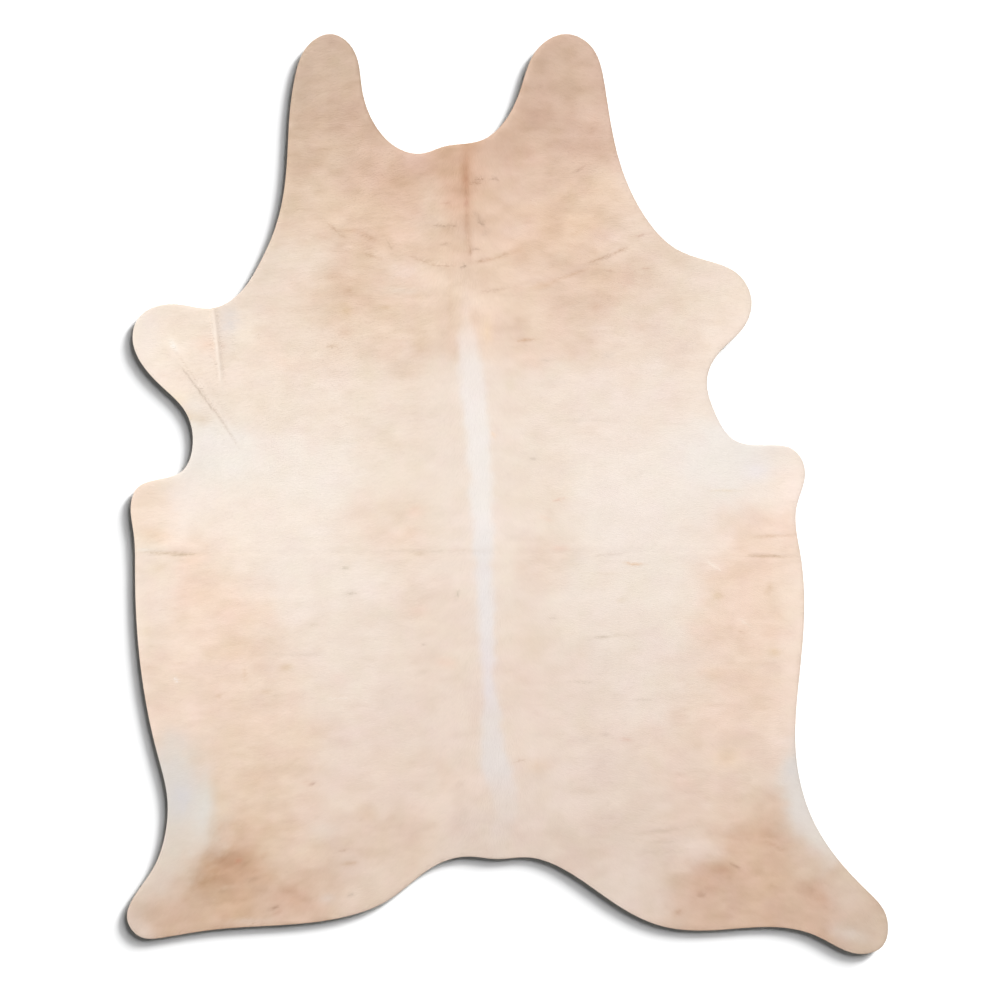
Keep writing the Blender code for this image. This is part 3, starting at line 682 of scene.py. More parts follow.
# Along a mark narrower than this (mm), single locks of its own colour lie on the coat. On the
# creases' and wrinkles' marks that colour is painted shade, and on the barrel fold's lip a
# painted highlight.
TUFT_MARK_WIDTH = 3.6
TUFT_RISE = 0.15 * MM
TUFT_LEAST = 4  # locks on the smallest mark
TUFT_AREA = 6  # one more for each so many square millimetres of half length by half width
TUFT_LENGTHS = (4, 10)  # shortest and longest, in mm
TUFT_SCATTER = 0.5  # how far they stray from the mark's line, in half widths
TUFT_TURN = 0.2  # radians
TUFT_COVER = 0.45  # share of the mark's cover by which they take its colour

# Short hair leans out over the cut edge.
RIM_STEP = 1.1  # from one root to the next, in steps of the outline
RIM_DEPTHS = (1.6, 3.4, 5.4)  # of the rows of roots, in mm inside the outline
RIM_LONGEST = 14 * MM
RIM_OVERHANG = 1.0 * MM
RIM_DROOP = 0.8 * MM
RIM_TURN = 0.35  # radians
RIM_COMBED = 0.5  # how far the lay of the coat draws it from straight outwards
RIM_SLOPE = 0.35  # it runs outwards by at least this share of its length

# Random shares of the plain value, from and to
SPREAD = {
    "lock length": (0.7, 1.25),
    "lock width": (0.7, 1.25),
    "tuft length": (0.3, 0.9),
    "tuft place": (-0.9, 0.9),
    "tuft width": (0.6, 0.9),
    "rim overhang": (0.2, 1.3),
    "rim depth": (0.8, 1.2),
    "rim width": (0.5, 0.9),
    "rim droop": (0.6, 1.2),
}
ROOT_SEED, LOCK_SEED, RIM_SEED, TUFT_SEED = 51, 52, 53, 54

# The studio light is a little over white, so the coat reflects this share of the tones above.
TONE_SHARE = 0.8

# The photograph's view in metres, and the lens in mm
VIEW_CENTRE = (-0.01875, -0.015)
VIEW_WIDTH = 2.5
LENS, SENSOR = 85, 36

FLOOR_HALF = 40.0
FLOOR_LEVEL = -0.5 * MM
WORLD_STRENGTH = 0.1

# name, strength, spread, height, bearing (degrees), what it lights
LAMPS = (
    ("shadow_lamp", 10.0, 13, 12, 45, "floor"),
    ("shadow_fade_lamp", 6.0, 50, 16, 45, "floor"),
    ("soft_lamp", 4.0, 50, 66, 130, "hide"),
)


def linear(colour):
    """The linear red, green and blue of an sRGB hex colour."""
    parts = np.array([int(colour[i : i + 2], 16) for i in (1, 3, 5)]) / 255
    return np.where(parts <= 0.04045, parts / 12.92, ((parts + 0.055) / 1.055) ** 2.4)


def opaque(colour):
    """The same colour with full cover, for a shader or a ramp."""
    return (*linear(colour), 1.0)


def closed_curve(marks, step):
    """Points at about even steps on a closed cubic spline through the marks.

    Each stretch between two marks is a Hermite cubic, and the marks' tangents are solved
    together so that the curvature runs on without a jump.
    """
    count = len(marks)
    ahead = np.roll(marks, -1, axis=0)
    length = np.linalg.norm(ahead - marks, axis=1)
    length_before = np.roll(length, 1)
    rate = (ahead - marks) / length[:, None] ** 2
    here = np.arange(count)
    system = np.zeros((count, count))
    system[here, here - 1] = 1 / length_before
    system[here, here] = 2 / length_before + 2 / length
    system[here, (here + 1) % count] = 1 / length
    tangents = np.linalg.solve(system, 3 * (rate + np.roll(rate, 1, axis=0)))
    stretches = []
    for i in range(count):
        steps = max(2, round(length[i] / step))
        t = (np.arange(steps) / steps)[:, None]
        leave = tangents[i] * length[i]
        arrive = tangents[(i + 1) % count] * length[i]
        stretches.append(
            (2 * t**3 - 3 * t**2 + 1) * marks[i]
            + (t**3 - 2 * t**2 + t) * leave
            + (3 * t**2 - 2 * t**3) * ahead[i]
            + (t**3 - t**2) * arrive
        )
    return np.concatenate(stretches)


def soft_noise(points, cell, seed, stretch=(1.0, 1.0)):
    """Smooth random values from -1 to 1: random numbers on a grid of cells, eased between."""
    side = 128  # the grid comes round again after this many cells
    values = np.random.default_rng(seed).uniform(-1, 1, (side, side))
    place = points / (np.array(stretch) * cell)
    base = np.floor(place).astype(int)
    ease = place - base
    ease = ease * ease * (3 - 2 * ease)
    x0, y0 = (base % side).T
    x1, y1 = (x0 + 1) % side, (y0 + 1) % side
    low = values[y0, x0] + (values[y0, x1] - values[y0, x0]) * ease[:, 0]
    high = values[y1, x0] + (values[y1, x1] - values[y1, x0]) * ease[:, 0]
    return low + (high - low) * ease[:, 1]


def noise_pair(points, cell, seed):
    """Two unrelated noises, side by side."""
    return np.column_stack([soft_noise(points, cell, seed), soft_noise(points, cell, seed + 1)])


def summed_noise(points, layers):
    """The sum of layers of noise: share, cell (mm) and seed of each."""
    return sum(share * soft_noise(points, cell * MM, seed) for share, cell, seed in layers)


def edge_reading(points, outline, outward):
    """(distance inside the outline, nearest outline point) for each point.

    The distance is to the nearest outline point and is negative outside, where the way from
    that point runs along its outward normal.
    """
    distance, nearest = [], []
    for some in np.array_split(points, max(1, len(points) // 4000)):  # to spare memory
        gap = some[:, None] - outline[None]
        squared = (gap**2).sum(axis=2)
        index = squared.argmin(axis=1)
        way = gap[np.arange(len(some)), index]
        side = np.where((way * outward[index]).sum(axis=1) > 0, -1.0, 1.0)
        distance.append(side * np.sqrt(squared.min(axis=1)))
        nearest.append(index)
    return np.concatenate(distance), np.concatenate(nearest)


def fold_height(fold, points):
    """Height that a fold gives the sheet at each point.

    With d the distance from the fold's line in half widths, a ridge is exp(-d squared) and a
    shoulder is d exp((1 - d squared) / 2), highest at d = 1. Both fade out at the two ends.
    """
    _, from_x, from_y, to_x, to_y, bow = fold[:6]
    width_left, width_right, ridge, left, right = (value * MM for value in fold[6:])
    start = np.array((from_x, from_y)) * MM
    run = np.array((to_x, to_y)) * MM - start
    length = np.linalg.norm(run)
    direction = run / length
    normal = np.array((-direction[1], direction[0]))
    offset = points - start
    t = offset @ direction / length
    within = np.clip(t, 0, 1)
    beside = offset @ normal - 4 * bow * MM * within * (1 - within)
    d = np.abs(beside) / np.where(beside > 0, width_left, width_right)
    near = (t > 0) & (t < 1) & (d < FOLD_REACH)
    fade = np.where(near, 1 - (2 * within - 1) ** 4, 0.0)
    shoulder = np.where(beside > 0, left, right) * d * np.exp((1 - d**2) / 2)
    return fade * (ridge * np.exp(-(d**2)) + shoulder)


def curl_height(points, edge_distance):
    """Lift of the edge: the even lift and a bell round each curl, times nearness squared."""
    lift_here = np.full(len(points), EDGE_LIFT)
    for _, across, along, reach, lift in CURLS:
        away = np.linalg.norm(points - np.array((across, along)) * MM, axis=1)
        lift_here += lift * MM * np.exp(-((away / (reach * MM)) ** 2))
    return lift_here * np.clip(1 - edge_distance / CURL_WIDTH, 0, 1) ** 2


def sheet_height(points, edge_distance):
    """Height of the skin's underside: the curled edge and every fold."""
    height = curl_height(points, edge_distance)
    for fold in FOLDS:
        height += fold_height(fold, points)
    return height


def coat_thickness(points, edge_distance):
    """Skin and hair: full in the field, eased down to the cut edge, with a soft unevenness."""
    bare = np.exp(-np.maximum(edge_distance, 0) / EDGE_THINNING)
    full = COAT_TOP + summed_noise(points, COAT_RELIEF) * MM
    return full + (COAT_TOP_AT_EDGE - full) * bare


def graded_marks(low, high, zones):
    """Marks from low to high, close together in the zones and wide apart between them.

    The number of marks passed by a place is the running sum of one over the spacing there,
    and the marks stand where that number takes even steps.
    """
    place = np.linspace(low, high, 8001)  # fine enough to add the spacing up
    spacing = np.full(place.shape, WIDE_STEP)
    for _, start, end, step in zones:
        outside = np.maximum(np.maximum(start * MM - place, place - end * MM), 0)
        eased = step * MM + (WIDE_STEP - step * MM) * np.clip(outside / STEP_EASE, 0, 1)
        spacing = np.minimum(spacing, eased)
    passed = np.concatenate([[0], np.cumsum(np.diff(place) / spacing[1:])])
    return np.interp(np.arange(0, passed[-1] + 1), passed, place)


class Hide:
    """The hide's outline and a lattice over its box, with the coat's height on it.

    The coordinates are the drawing's own, in metres; "middle" is what the model moves to the
    frame's origin.
    """

    def __init__(self):
        marks = np.array([row[1:] for row in OUTLINE]) * MM
        self.outline = closed_curve(marks, OUTLINE_STEP)
        ahead = np.roll(self.outline, -1, axis=0) - np.roll(self.outline, 1, axis=0)
        ahead /= np.linalg.norm(ahead, axis=1)[:, None]
        self.outward = np.column_stack([-ahead[:, 1], ahead[:, 0]])
        low, high = self.outline.min(axis=0), self.outline.max(axis=0)
        self.middle = (low + high) / 2
        self.columns = graded_marks(low[0] - WIDE_STEP, high[0] + WIDE_STEP, FINE_COLUMNS)
        self.rows = graded_marks(low[1] - WIDE_STEP, high[1] + WIDE_STEP, FINE_ROWS)
        x, y = np.meshgrid(self.columns, self.rows)
        self.lattice = np.column_stack([x.ravel(), y.ravel()])
        self.distance, self.nearest = edge_reading(self.lattice, self.outline, self.outward)
        height = sheet_height(self.lattice, self.distance)
        self.top = height + coat_thickness(self.lattice, self.distance)

    def read(self, field, points):
        """A field of the lattice at any points, straight between its rows and columns."""
        field = field.reshape(len(self.rows), len(self.columns))
        column = np.interp(points[:, 0], self.columns, np.arange(len(self.columns)))
        row = np.interp(points[:, 1], self.rows, np.arange(len(self.rows)))
        x = np.minimum(column.astype(int), len(self.columns) - 2)
        y = np.minimum(row.astype(int), len(self.rows) - 2)
        s, t = column - x, row - y
        low = field[y, x] * (1 - s) + field[y, x + 1] * s
        high = field[y + 1, x] * (1 - s) + field[y + 1, x + 1] * s
        return low * (1 - t) + high * t


def along_stripe(points, values):
    """Values given for the rows of the stripe, at each point, straight between the rows."""
    rising = [row[0] for row in STRIPE[::-1]]
    return np.interp(points[:, 1] / MM, rising, values[::-1])


def hair_lay(points):
    """Unit direction in which the hair is combed.

    It runs tailwards on the spine, outwards beside it, and more tailwards again on the haunch.
    """
    spine = along_stripe(points, [row[1] for row in STRIPE]) * MM
    off_spine = (points[:, 0] - spine) / SPINE_REACH
    outwards = np.tanh(off_spine)
    haunch = np.clip((HAUNCH_START - points[:, 1]) / HAUNCH_EASE, 0, 1)
    on_spine = np.exp(-(off_spine**2))
    tailwards = TAILWARDS + TAILWARDS_ON_SPINE * on_spine + TAILWARDS_ON_HAUNCH * haunch
    turn = summed_noise(points, [LAY_WANDER]) + np.arctan2(-tailwards, outwards)
    return np.column_stack([np.cos(turn), np.sin(turn)])


def add_tones(points):
    """The tones' average at each point, weighed by nearness, with wandering borders."""
    spot = points / MM
    for shift, cell, seed in TONE_WANDER:
        spot = spot + shift * noise_pair(points, cell * MM, seed)
    total = np.zeros((len(points), 3))
    weight = np.zeros((len(points), 1))
    for _, across, along, reach_across, reach_along, colour in TONES:
        off = (spot - (across, along)) / (reach_across, reach_along)
        near = np.exp(-(off**2).sum(axis=1))[:, None] + 1e-9
        total += near * linear(colour)
        weight += near
    return total / weight


def add_stripe(colour, points):
    """The colour under the white stripe, which is full inside and soft over its edges."""
    centre, width, cover = (
        along_stripe(points, [row[column] for row in STRIPE]) for column in (1, 2, 3)
    )
    whites = np.array([linear(row[4]) for row in STRIPE])
    white = np.column_stack([along_stripe(points, part) for part in whites.T])
    ragged = summed_noise(points, STRIPE_WANDER)
    beyond = np.abs(points[:, 0] / MM - centre) - width / 2 + ragged
    cover = (cover / (1 + np.exp(beyond / STRIPE_FADE)))[:, None]
    return colour * (1 - cover) + white * cover


def add_marks(colour, points):
    """The colour under every mark.

    A mark's cover falls off as exp(-(u squared + v squared)), with u and v the distances along
    and beside it in its half sizes. Single hairs pull its rim about.
    """
    shift, cell, seed = MARK_WANDER
    spot = points / MM + shift * noise_pair(points, cell * MM, seed)
    grain = MARK_COVER + summed_noise(points, [MARK_GRAIN])
    for across, along, half_length, half_width, turn, shade, cover in MARK_ROWS:
        x, y = spot[:, 0] - across, spot[:, 1] - along
        reach = MARK_REACH * max(half_length, half_width)
        near = np.flatnonzero(x**2 + y**2 < reach**2)
        x, y = x[near], y[near]
        lie = math.radians(turn)
        u = (x * math.cos(lie) + y * math.sin(lie)) / half_length
        v = (y * math.cos(lie) - x * math.sin(lie)) / half_width
        share = np.clip(cover * grain[near] * np.exp(-(u**2) - v**2), 0, 1)[:, None]
        colour[near] = colour[near] * (1 - share) + linear(shade) * share
    return colour


def add_mottle(colour, points):
    """The colour with the coat's unevenness, which is stronger the browner the hair is.

    Broad waves, patches with ragged borders, fine streaks and dark flecks, all drawn out across
    the body, change its light. What is darker is browner too: the light is raised to a lower
    power in red than in blue. Other waves turn it rosier or yellower.
    """
    shift, pull_cell, pull_seed = MOTTLE_WANDER
    ragged = points + shift * MM * noise_pair(points, pull_cell * MM, pull_seed)
    change = {"light": 0, "rosy": 0, "warm": 0}
    for kind, look, share, cell, seed, stretch in MOTTLE:
        wave = soft_noise(ragged if look == "patches" else points, cell * MM, seed, stretch)
        if look == "patches":
            wave = np.tanh(PATCH_CONTRAST * wave)
        elif look == "flecks":
            wave = -np.clip(wave - FLECK_LEVEL, 0, 1)
        change[kind] += share * wave

    brownness = 1 - colour[:, 2] / colour[:, 0]
    light_strength = np.maximum(LIGHT_BY_BROWNNESS * brownness - LIGHT_LESS, LIGHT_LEAST)
    hue_strength = HUE_LEAST + HUE_BY_BROWNNESS * brownness
    light = 1 + change["light"] * light_strength
    rosy, warm = change["rosy"] * hue_strength, change["warm"] * hue_strength
    red = light**RED_POWER + ROSY_RED * rosy
    green = light - ROSY_GREEN * rosy
    blue = light**BLUE_POWER - warm
    return colour * np.column_stack([red, green, blue])


def coat_colour(points):
    """Linear colour of the coat at each point: tones, stripe, marks and mottling, in turn."""
    colour = add_tones(points)
    colour = add_stripe(colour, points)
    colour = add_marks(colour, points)
    return TONE_SHARE * add_mottle(colour, points)


def new_mesh(name, points, triangles, colours, maps, smooth=True):
    """A mesh of triangles. Its colours are the attribute coat_colour, one for each point, and
    its maps are places on a plane for each corner of each triangle, by name."""
    mesh = bpy.data.meshes.new(name)
    mesh.vertices.add(len(points))
    mesh.vertices.foreach_set("co", points.astype(np.float32).ravel())
    mesh.loops.add(triangles.size)
    mesh.loops.foreach_set("vertex_index", triangles.astype(np.int32).ravel())
    mesh.polygons.add(len(triangles))
    mesh.polygons.foreach_set("loop_start", np.arange(0, triangles.size, 3, dtype=np.int32))
    layer = mesh.color_attributes.new("coat_colour", "FLOAT_COLOR", "POINT")
    covering = np.column_stack([colours, np.ones(len(colours))])
    layer.data.foreach_set("color", covering.astype(np.float32).ravel())
    for map_name, places in maps.items():
        layer = mesh.uv_layers.new(name=map_name)
        layer.data.foreach_set("uv", places.astype(np.float32).ravel())
    mesh.update(calc_edges=True)
    if smooth:
        mesh.shade_smooth()
    else:
        mesh.shade_flat()
    return mesh


def add_object(name, mesh, materials):
    """A piece with its origin at the frame's, riding on the one body."""
    for material in materials:
        mesh.materials.append(material)
    piece = bpy.data.objects.new(name, mesh)
    bpy.context.scene.collection.objects.link(piece)
    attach(piece, "root")
    return piece


def trimmed_triangles(hide):
    """(lattice points, triangles inside the outline, nearest outline point of each point).

    A point within half a cell of the outline is moved onto it. A cell is cut in two along the
    diagonal that leaves out its outer corner or, where none lies outside, that makes the
    fuller pair. Triangles with an outer corner, and slivers on the outline, are left out.
    """
    wide, high = len(hide.columns), len(hide.rows)
    step_x = np.diff(hide.columns)
    step_y = np.diff(hide.rows)
    reach_x = np.maximum(np.append(step_x, 0), np.insert(step_x, 0, 0))
    reach_y = np.maximum(np.append(step_y, 0), np.insert(step_y, 0, 0))
    reach = np.maximum(reach_x[None, :], reach_y[:, None]).ravel() / 2
    on_edge = np.abs(hide.distance) <= reach
    outer = ~on_edge & (hide.distance < 0)
    place = np.where(on_edge[:, None], hide.outline[hide.nearest], hide.lattice)

    number = np.arange(wide * high).reshape(high, wide)
    a, b = number[:-1, :-1].ravel(), number[:-1, 1:].ravel()
    d, c = number[1:, :-1].ravel(), number[1:, 1:].ravel()

    def area(p, q, r):
        u, v = place[q] - place[p], place[r] - place[p]
        return (u[:, 0] * v[:, 1] - u[:, 1] * v[:, 0]) / 2

    along_ac = np.minimum(area(a, b, c), area(a, c, d))
    along_bd = np.minimum(area(a, b, d), area(b, c, d))
    none_outer = ~(outer[a] | outer[b] | outer[c] | outer[d])
    use_ac = np.where(none_outer, along_ac >= along_bd, outer[b] | outer[d])
    first = np.where(use_ac[:, None], np.column_stack([a, b, c]), np.column_stack([a, b, d]))
    second = np.where(use_ac[:, None], np.column_stack([a, c, d]), np.column_stack([b, c, d]))
    triangles = np.concatenate([first, second])
    sliver = area(*triangles.T) < SLIVER
    kept = ~outer[triangles].any(axis=1) & ~(on_edge[triangles].all(axis=1) & sliver)
    triangles = triangles[kept]
    used, triangles = np.unique(triangles, return_inverse=True)
    return place[used], triangles.reshape(-1, 3), hide.nearest[used]


def boundary_edges(triangles, count):
    """The directed edges that only one triangle has."""
    edges = np.concatenate([triangles[:, [0, 1]], triangles[:, [1, 2]], triangles[:, [2, 0]]])
    there = edges[:, 0] * count + edges[:, 1]
    back = edges[:, 1] * count + edges[:, 0]
    return edges[~np.isin(there, back)]


def add_skin(hide, materials):
    """The skin with its coat: hair side, flesh side and the cut edge between them.

    Both sides are the same trimmed lattice, at the sheet's height and at that height plus the
    coat's thickness. Two bands close them: hair down to the skin's own thickness, and below
    it the raw cut edge, which bulges out a little.
    """
    flat, triangles, nearest = trimmed_triangles(hide)
    count = len(flat)
    distance, _ = edge_reading(flat, hide.outline, hide.outward)
    distance = np.maximum(distance, 0)
    edge = boundary_edges(triangles, count)
    distance[edge[:, 0]] = 0.0
    under = sheet_height(flat, distance)
    over = under + coat_thickness(flat, distance)
    rim = np.unique(edge[:, 0])
    band = np.full(count, -1)
    band[rim] = np.arange(len(rim)) + 2 * count
    bulged = flat[rim] + CUT_BULGE * hide.outward[nearest[rim]]
    points = np.vstack([
        np.column_stack([flat - hide.middle, over]),
        np.column_stack([flat - hide.middle, under]),
        np.column_stack([bulged - hide.middle, under[rim] + SKIN_THICKNESS]),
    ])
    p, q = edge.T
    hair_band = [np.column_stack([q, p, band[p]]), np.column_stack([q, band[p], band[q]])]
    cut_band = [
        np.column_stack([band[q], band[p], p + count]),
        np.column_stack([band[q], p + count, q + count]),
    ]
    flesh = triangles[:, ::-1] + count
    faces = np.concatenate([triangles, *hair_band, *cut_band, flesh])
    colours = coat_colour(flat)
    colours = np.vstack([colours, colours, colours[rim]])
    unfolded = skin_map(points, faces, len(flesh), count, rim, hide.outward[nearest[rim]])
    mesh = new_mesh("skin", points, faces, colours, {"OFBake": unfolded})
    worn = np.repeat([0, 1, 2], [len(triangles) + 2 * len(edge), 2 * len(edge), len(flesh)])
    mesh.polygons.foreach_set("material_index", worn.astype(np.int32))
    return add_object("skin", mesh, materials)


def skin_map(points, faces, flesh_count, count, rim, outward):
    """A flat map of the skin: the hair side in plan, and beside it the flesh side in plan.

    The edge's bands are folded out round the hair side, each as wide as it is high.
    """
    size = np.ptp(points[:, :2], axis=0)
    gap = MAP_GAP * size[0]
    plan = points[:, :2] - points[:, :2].min(axis=0) + gap
    drop = points[rim, 2] - points[rim + count, 2]
    cut = points[2 * count :, 2] - points[rim + count, 2]
    folded = plan.copy()
    folded[2 * count :] = plan[rim] + outward * (drop - cut)[:, None]
    folded[rim + count] = plan[rim] + outward * drop[:, None]
    beside = plan + (size[0] + gap, 0)
    is_flesh = np.arange(len(faces)) >= len(faces) - flesh_count
    places = np.where(is_flesh[:, None, None], beside[faces], folded[faces])
    return places / (2 * size[0] + 4 * gap)


def lock_roots(hide):
    """Roots of the locks: staggered rows over the hide, each root moved at random."""
    rng = np.random.default_rng(ROOT_SEED)
    low, high = hide.outline.min(axis=0), hide.outline.max(axis=0)
    x, y = np.meshgrid(
        np.arange(low[0], high[0], LOCK_SPACING), np.arange(low[1], high[1], LOCK_SPACING)
    )
    x[1::2] += LOCK_SPACING / 2
    roots = np.column_stack([x.ravel(), y.ravel()])
    roots += rng.uniform(-0.5, 0.5, roots.shape) * LOCK_SPACING
    return roots[hide.read(hide.distance, roots) > LOCK_INSET]


def lock_points(hide, roots, lay, length, width, rise=0.0):
    """The four points of each lock, as (locks, 4, 3): root, left, right and tip.

    A lock is a long low roof along its lay: a straight ridge from its root in the coat to its
    tip, which lies a little proud of it, over a base that is widest nearer the root.
    """
    side = np.column_stack([-lay[:, 1], lay[:, 0]])
    middle = roots + LOCK_WIDEST * length[:, None] * lay
    tip = roots + length[:, None] * lay
    half = 0.5 * width[:, None] * side
    spots = np.stack([roots, middle + half, middle - half, tip], axis=1)
    top = hide.read(hide.top, spots.reshape(-1, 2)).reshape(len(roots), 4)
    top += np.array([0.0, -LOCK_SINK, -LOCK_SINK, 1.0]) * LOCK_RISE + rise
    return np.dstack([spots - hide.middle, top])


def lock_piece(name, hide, points, length, width, rng, materials, own=None):
    """A piece made of locks, each coloured where it lies or, by a share, in its own colour.

    Its map "strands" lays every lock out in millimetres, its length across and its width up,
    at a random place. Its map "OFBake" is the piece in plan.
    """
    count = len(points)
    flat = points[:, :, :2] + hide.middle
    shades = coat_colour(flat.reshape(-1, 2)).reshape(count, 4, 3)
    if own is not None:
        own_colour, share = own
        shades += (own_colour[:, None] - shades) * share[:, None, None]
    shades *= 1 + rng.normal(0, LOCK_SHADE, (count, 1, 1))
    faces = (np.arange(count)[:, None, None] * 4 + LOCK_FACES).reshape(-1, 3)
    strands = np.zeros((count, 4, 2))
    strands[:, 1:3, 0] = LOCK_WIDEST * length[:, None]
    strands[:, 3, 0] = length
    strands[:, 1:3, 1] = 0.5 * width[:, None] * (1, -1)
    strands = strands / MM + rng.uniform(0, STRAND_SHEET, (count, 1, 2))
    plan = points[:, :, :2] - points[:, :, :2].min(axis=(0, 1))
    plan = PLAN_BORDER + (1 - 2 * PLAN_BORDER) * plan / plan.max()
    maps = {
        "strands": strands.reshape(-1, 2)[faces],
        "OFBake": plan.reshape(-1, 2)[faces],
    }
    mesh = new_mesh(name, points.reshape(-1, 3), faces, shades.reshape(-1, 3), maps, smooth=False)
    return add_object(name, mesh, materials)


def turned(direction, turn):
    """The directions turned by these angles, in radians."""
    x, y = direction.T
    return np.column_stack([
        x * np.cos(turn) - y * np.sin(turn),
        x * np.sin(turn) + y * np.cos(turn),
    ])


def add_locks(hide, materials):
    """The combed hair, one piece for each stretch of the body.

    A lock that would reach over the cut edge is shortened to end just inside it. One that lies
    across a fold is shortened by the root of its bridge's depth, which makes the depth even.
    """
    rng = np.random.default_rng(LOCK_SEED)
    roots = lock_roots(hide)
    lay = turned(hair_lay(roots), rng.normal(0, LOCK_TURN, len(roots)))
    length = LOCK_LENGTH * rng.uniform(*SPREAD["lock length"], len(roots))
    width = LOCK_WIDTH * rng.uniform(*SPREAD["lock width"], len(roots))
    start = hide.read(hide.distance, roots)
    end = hide.read(hide.distance, roots + lay * length[:, None])
    shorter = np.clip(start / np.maximum(start - end, 1e-9), 0, 1)
    shorter = np.maximum(LOCK_EDGE_SHARE * shorter, LOCK_SHORTEST_AT_EDGE)
    length *= np.where(end < 0, shorter, 1.0)
    low, half, high = (
        hide.read(hide.top, roots + lay * (share * length)[:, None]) for share in (0, 0.5, 1)
    )
    bridge = np.abs(half - (low + high) / 2)
    length *= np.clip(np.sqrt(LOCK_BRIDGE / np.maximum(bridge, 1e-9)), LOCK_SHORTEST, 1)
    points = lock_points(hide, roots, lay, length, width)
    pieces = []
    shares = np.quantile(roots[:, 1], [0, 0.25, 0.5, 0.75, 1])
    for name, low, high in zip(("rump", "barrel", "ribs", "neck"), shares, shares[1:]):
        here = (roots[:, 1] > low) & (roots[:, 1] <= high)
        pieces.append(lock_piece(
            "hair_" + name, hide, points[here], length[here], width[here], rng, materials
        ))
    return pieces


def add_tufts(hide, materials):
    """Locks in the narrow marks' own colours, laid along them and a little proud of the coat.

    Their number grows with the mark's length and width, and they are strewn over it at random.
    Along the creases and wrinkles their colour is painted shade, and on the barrel fold's lip a
    painted highlight.
    """
    rng = np.random.default_rng(TUFT_SEED)
    narrow = [mark for mark in MARK_ROWS if mark[3] <= TUFT_MARK_WIDTH]
    count = [TUFT_LEAST + round(mark[2] * mark[3] / TUFT_AREA) for mark in narrow]
    sizes = np.repeat([mark[:5] for mark in narrow], count, axis=0)
    across, along, half_length, half_width, turn = sizes.T
    lie = np.radians(turn)
    direction = np.column_stack([np.cos(lie), np.sin(lie)])
    beside = np.column_stack([-direction[:, 1], direction[:, 0]])
    length = half_length * rng.uniform(*SPREAD["tuft length"], len(lie))
    length = np.clip(length, *TUFT_LENGTHS)
    start = half_length * rng.uniform(*SPREAD["tuft place"], len(lie)) - length / 2
    offset = half_width * rng.normal(0, TUFT_SCATTER, len(lie))
    roots = np.column_stack([across, along])
    roots += direction * start[:, None] + beside * offset[:, None]
    lay = turned(direction, rng.normal(0, TUFT_TURN, len(lie)))
    width = LOCK_WIDTH * rng.uniform(*SPREAD["tuft width"], len(lie))
    points = lock_points(hide, roots * MM, lay, length * MM, width, TUFT_RISE)
    colours = TONE_SHARE * np.repeat([linear(mark[5]) for mark in narrow], count, axis=0)
    share = TUFT_COVER * np.repeat([mark[6] for mark in narrow], count)
    return lock_piece(
        "hair_tufts", hide, points, length * MM, width, rng, materials, (colours, share)
    )


def add_rim_hair(hide, materials):
    """Short hair all round, which leans out over the cut edge and hangs down a little there.

    The roots stand in three rows inside the outline. Each tip is set to end at the overhang.
    """
    rng = np.random.default_rng(RIM_SEED)
    mark = np.arange(0, len(hide.outline), RIM_STEP)
    roots, lay, length = [], [], []
    for depth in RIM_DEPTHS:
        place = (mark + rng.uniform(0, RIM_STEP, len(mark))).astype(int) % len(hide.outline)
        outward = hide.outward[place]
        out = turned(outward, rng.normal(0, RIM_TURN, len(mark)))
        way = out + RIM_COMBED * hair_lay(hide.outline[place])
        way /= np.linalg.norm(way, axis=1)[:, None]
        slope = np.maximum((way * outward).sum(axis=1), RIM_SLOPE)
        overhang = RIM_OVERHANG * rng.uniform(*SPREAD["rim overhang"], len(mark))
        inside = depth * MM * rng.uniform(*SPREAD["rim depth"], len(mark))
        roots.append(hide.outline[place] - outward * inside[:, None])
        lay.append(way)
        length.append(np.minimum((inside + overhang) / slope, RIM_LONGEST))
    roots, lay, length = np.vstack(roots), np.vstack(lay), np.concatenate(length)
    width = LOCK_WIDTH * rng.uniform(*SPREAD["rim width"], len(roots))
    points = lock_points(hide, roots, lay, length, width)
    points[:, 3, 2] -= RIM_DROOP * rng.uniform(*SPREAD["rim droop"], len(roots))
    return lock_piece("hair_rim", hide, points, length, width, rng, materials)


def node(tree, kind, settings=None, **links):
    """Adds a node. settings holds its properties and, by name, its inputs' plain values."""
    made = tree.nodes.new("ShaderNode" + kind)
    for name, value in (settings or {}).items():
        if name in made.inputs:
            made.inputs[name].default_value = value
        else:
            setattr(made, name, value)
    for name, source in links.items():
        tree.links.new(source, made.inputs[name.replace("_", " ")])
    return made


def new_material(name, roughness, specular=0.5, sheen=0.0):
    """(material, its nodes, its shader) with the values that are the same all over."""
    material = bpy.data.materials.new(name)
    material.use_nodes = True
    tree = material.node_tree
    shader = tree.nodes["Principled BSDF"]
    shader.inputs["Roughness"].default_value = roughness
    shader.inputs["Specular IOR Level"].default_value = specular
    shader.inputs["Sheen Weight"].default_value = sheen
    return material, tree, shader


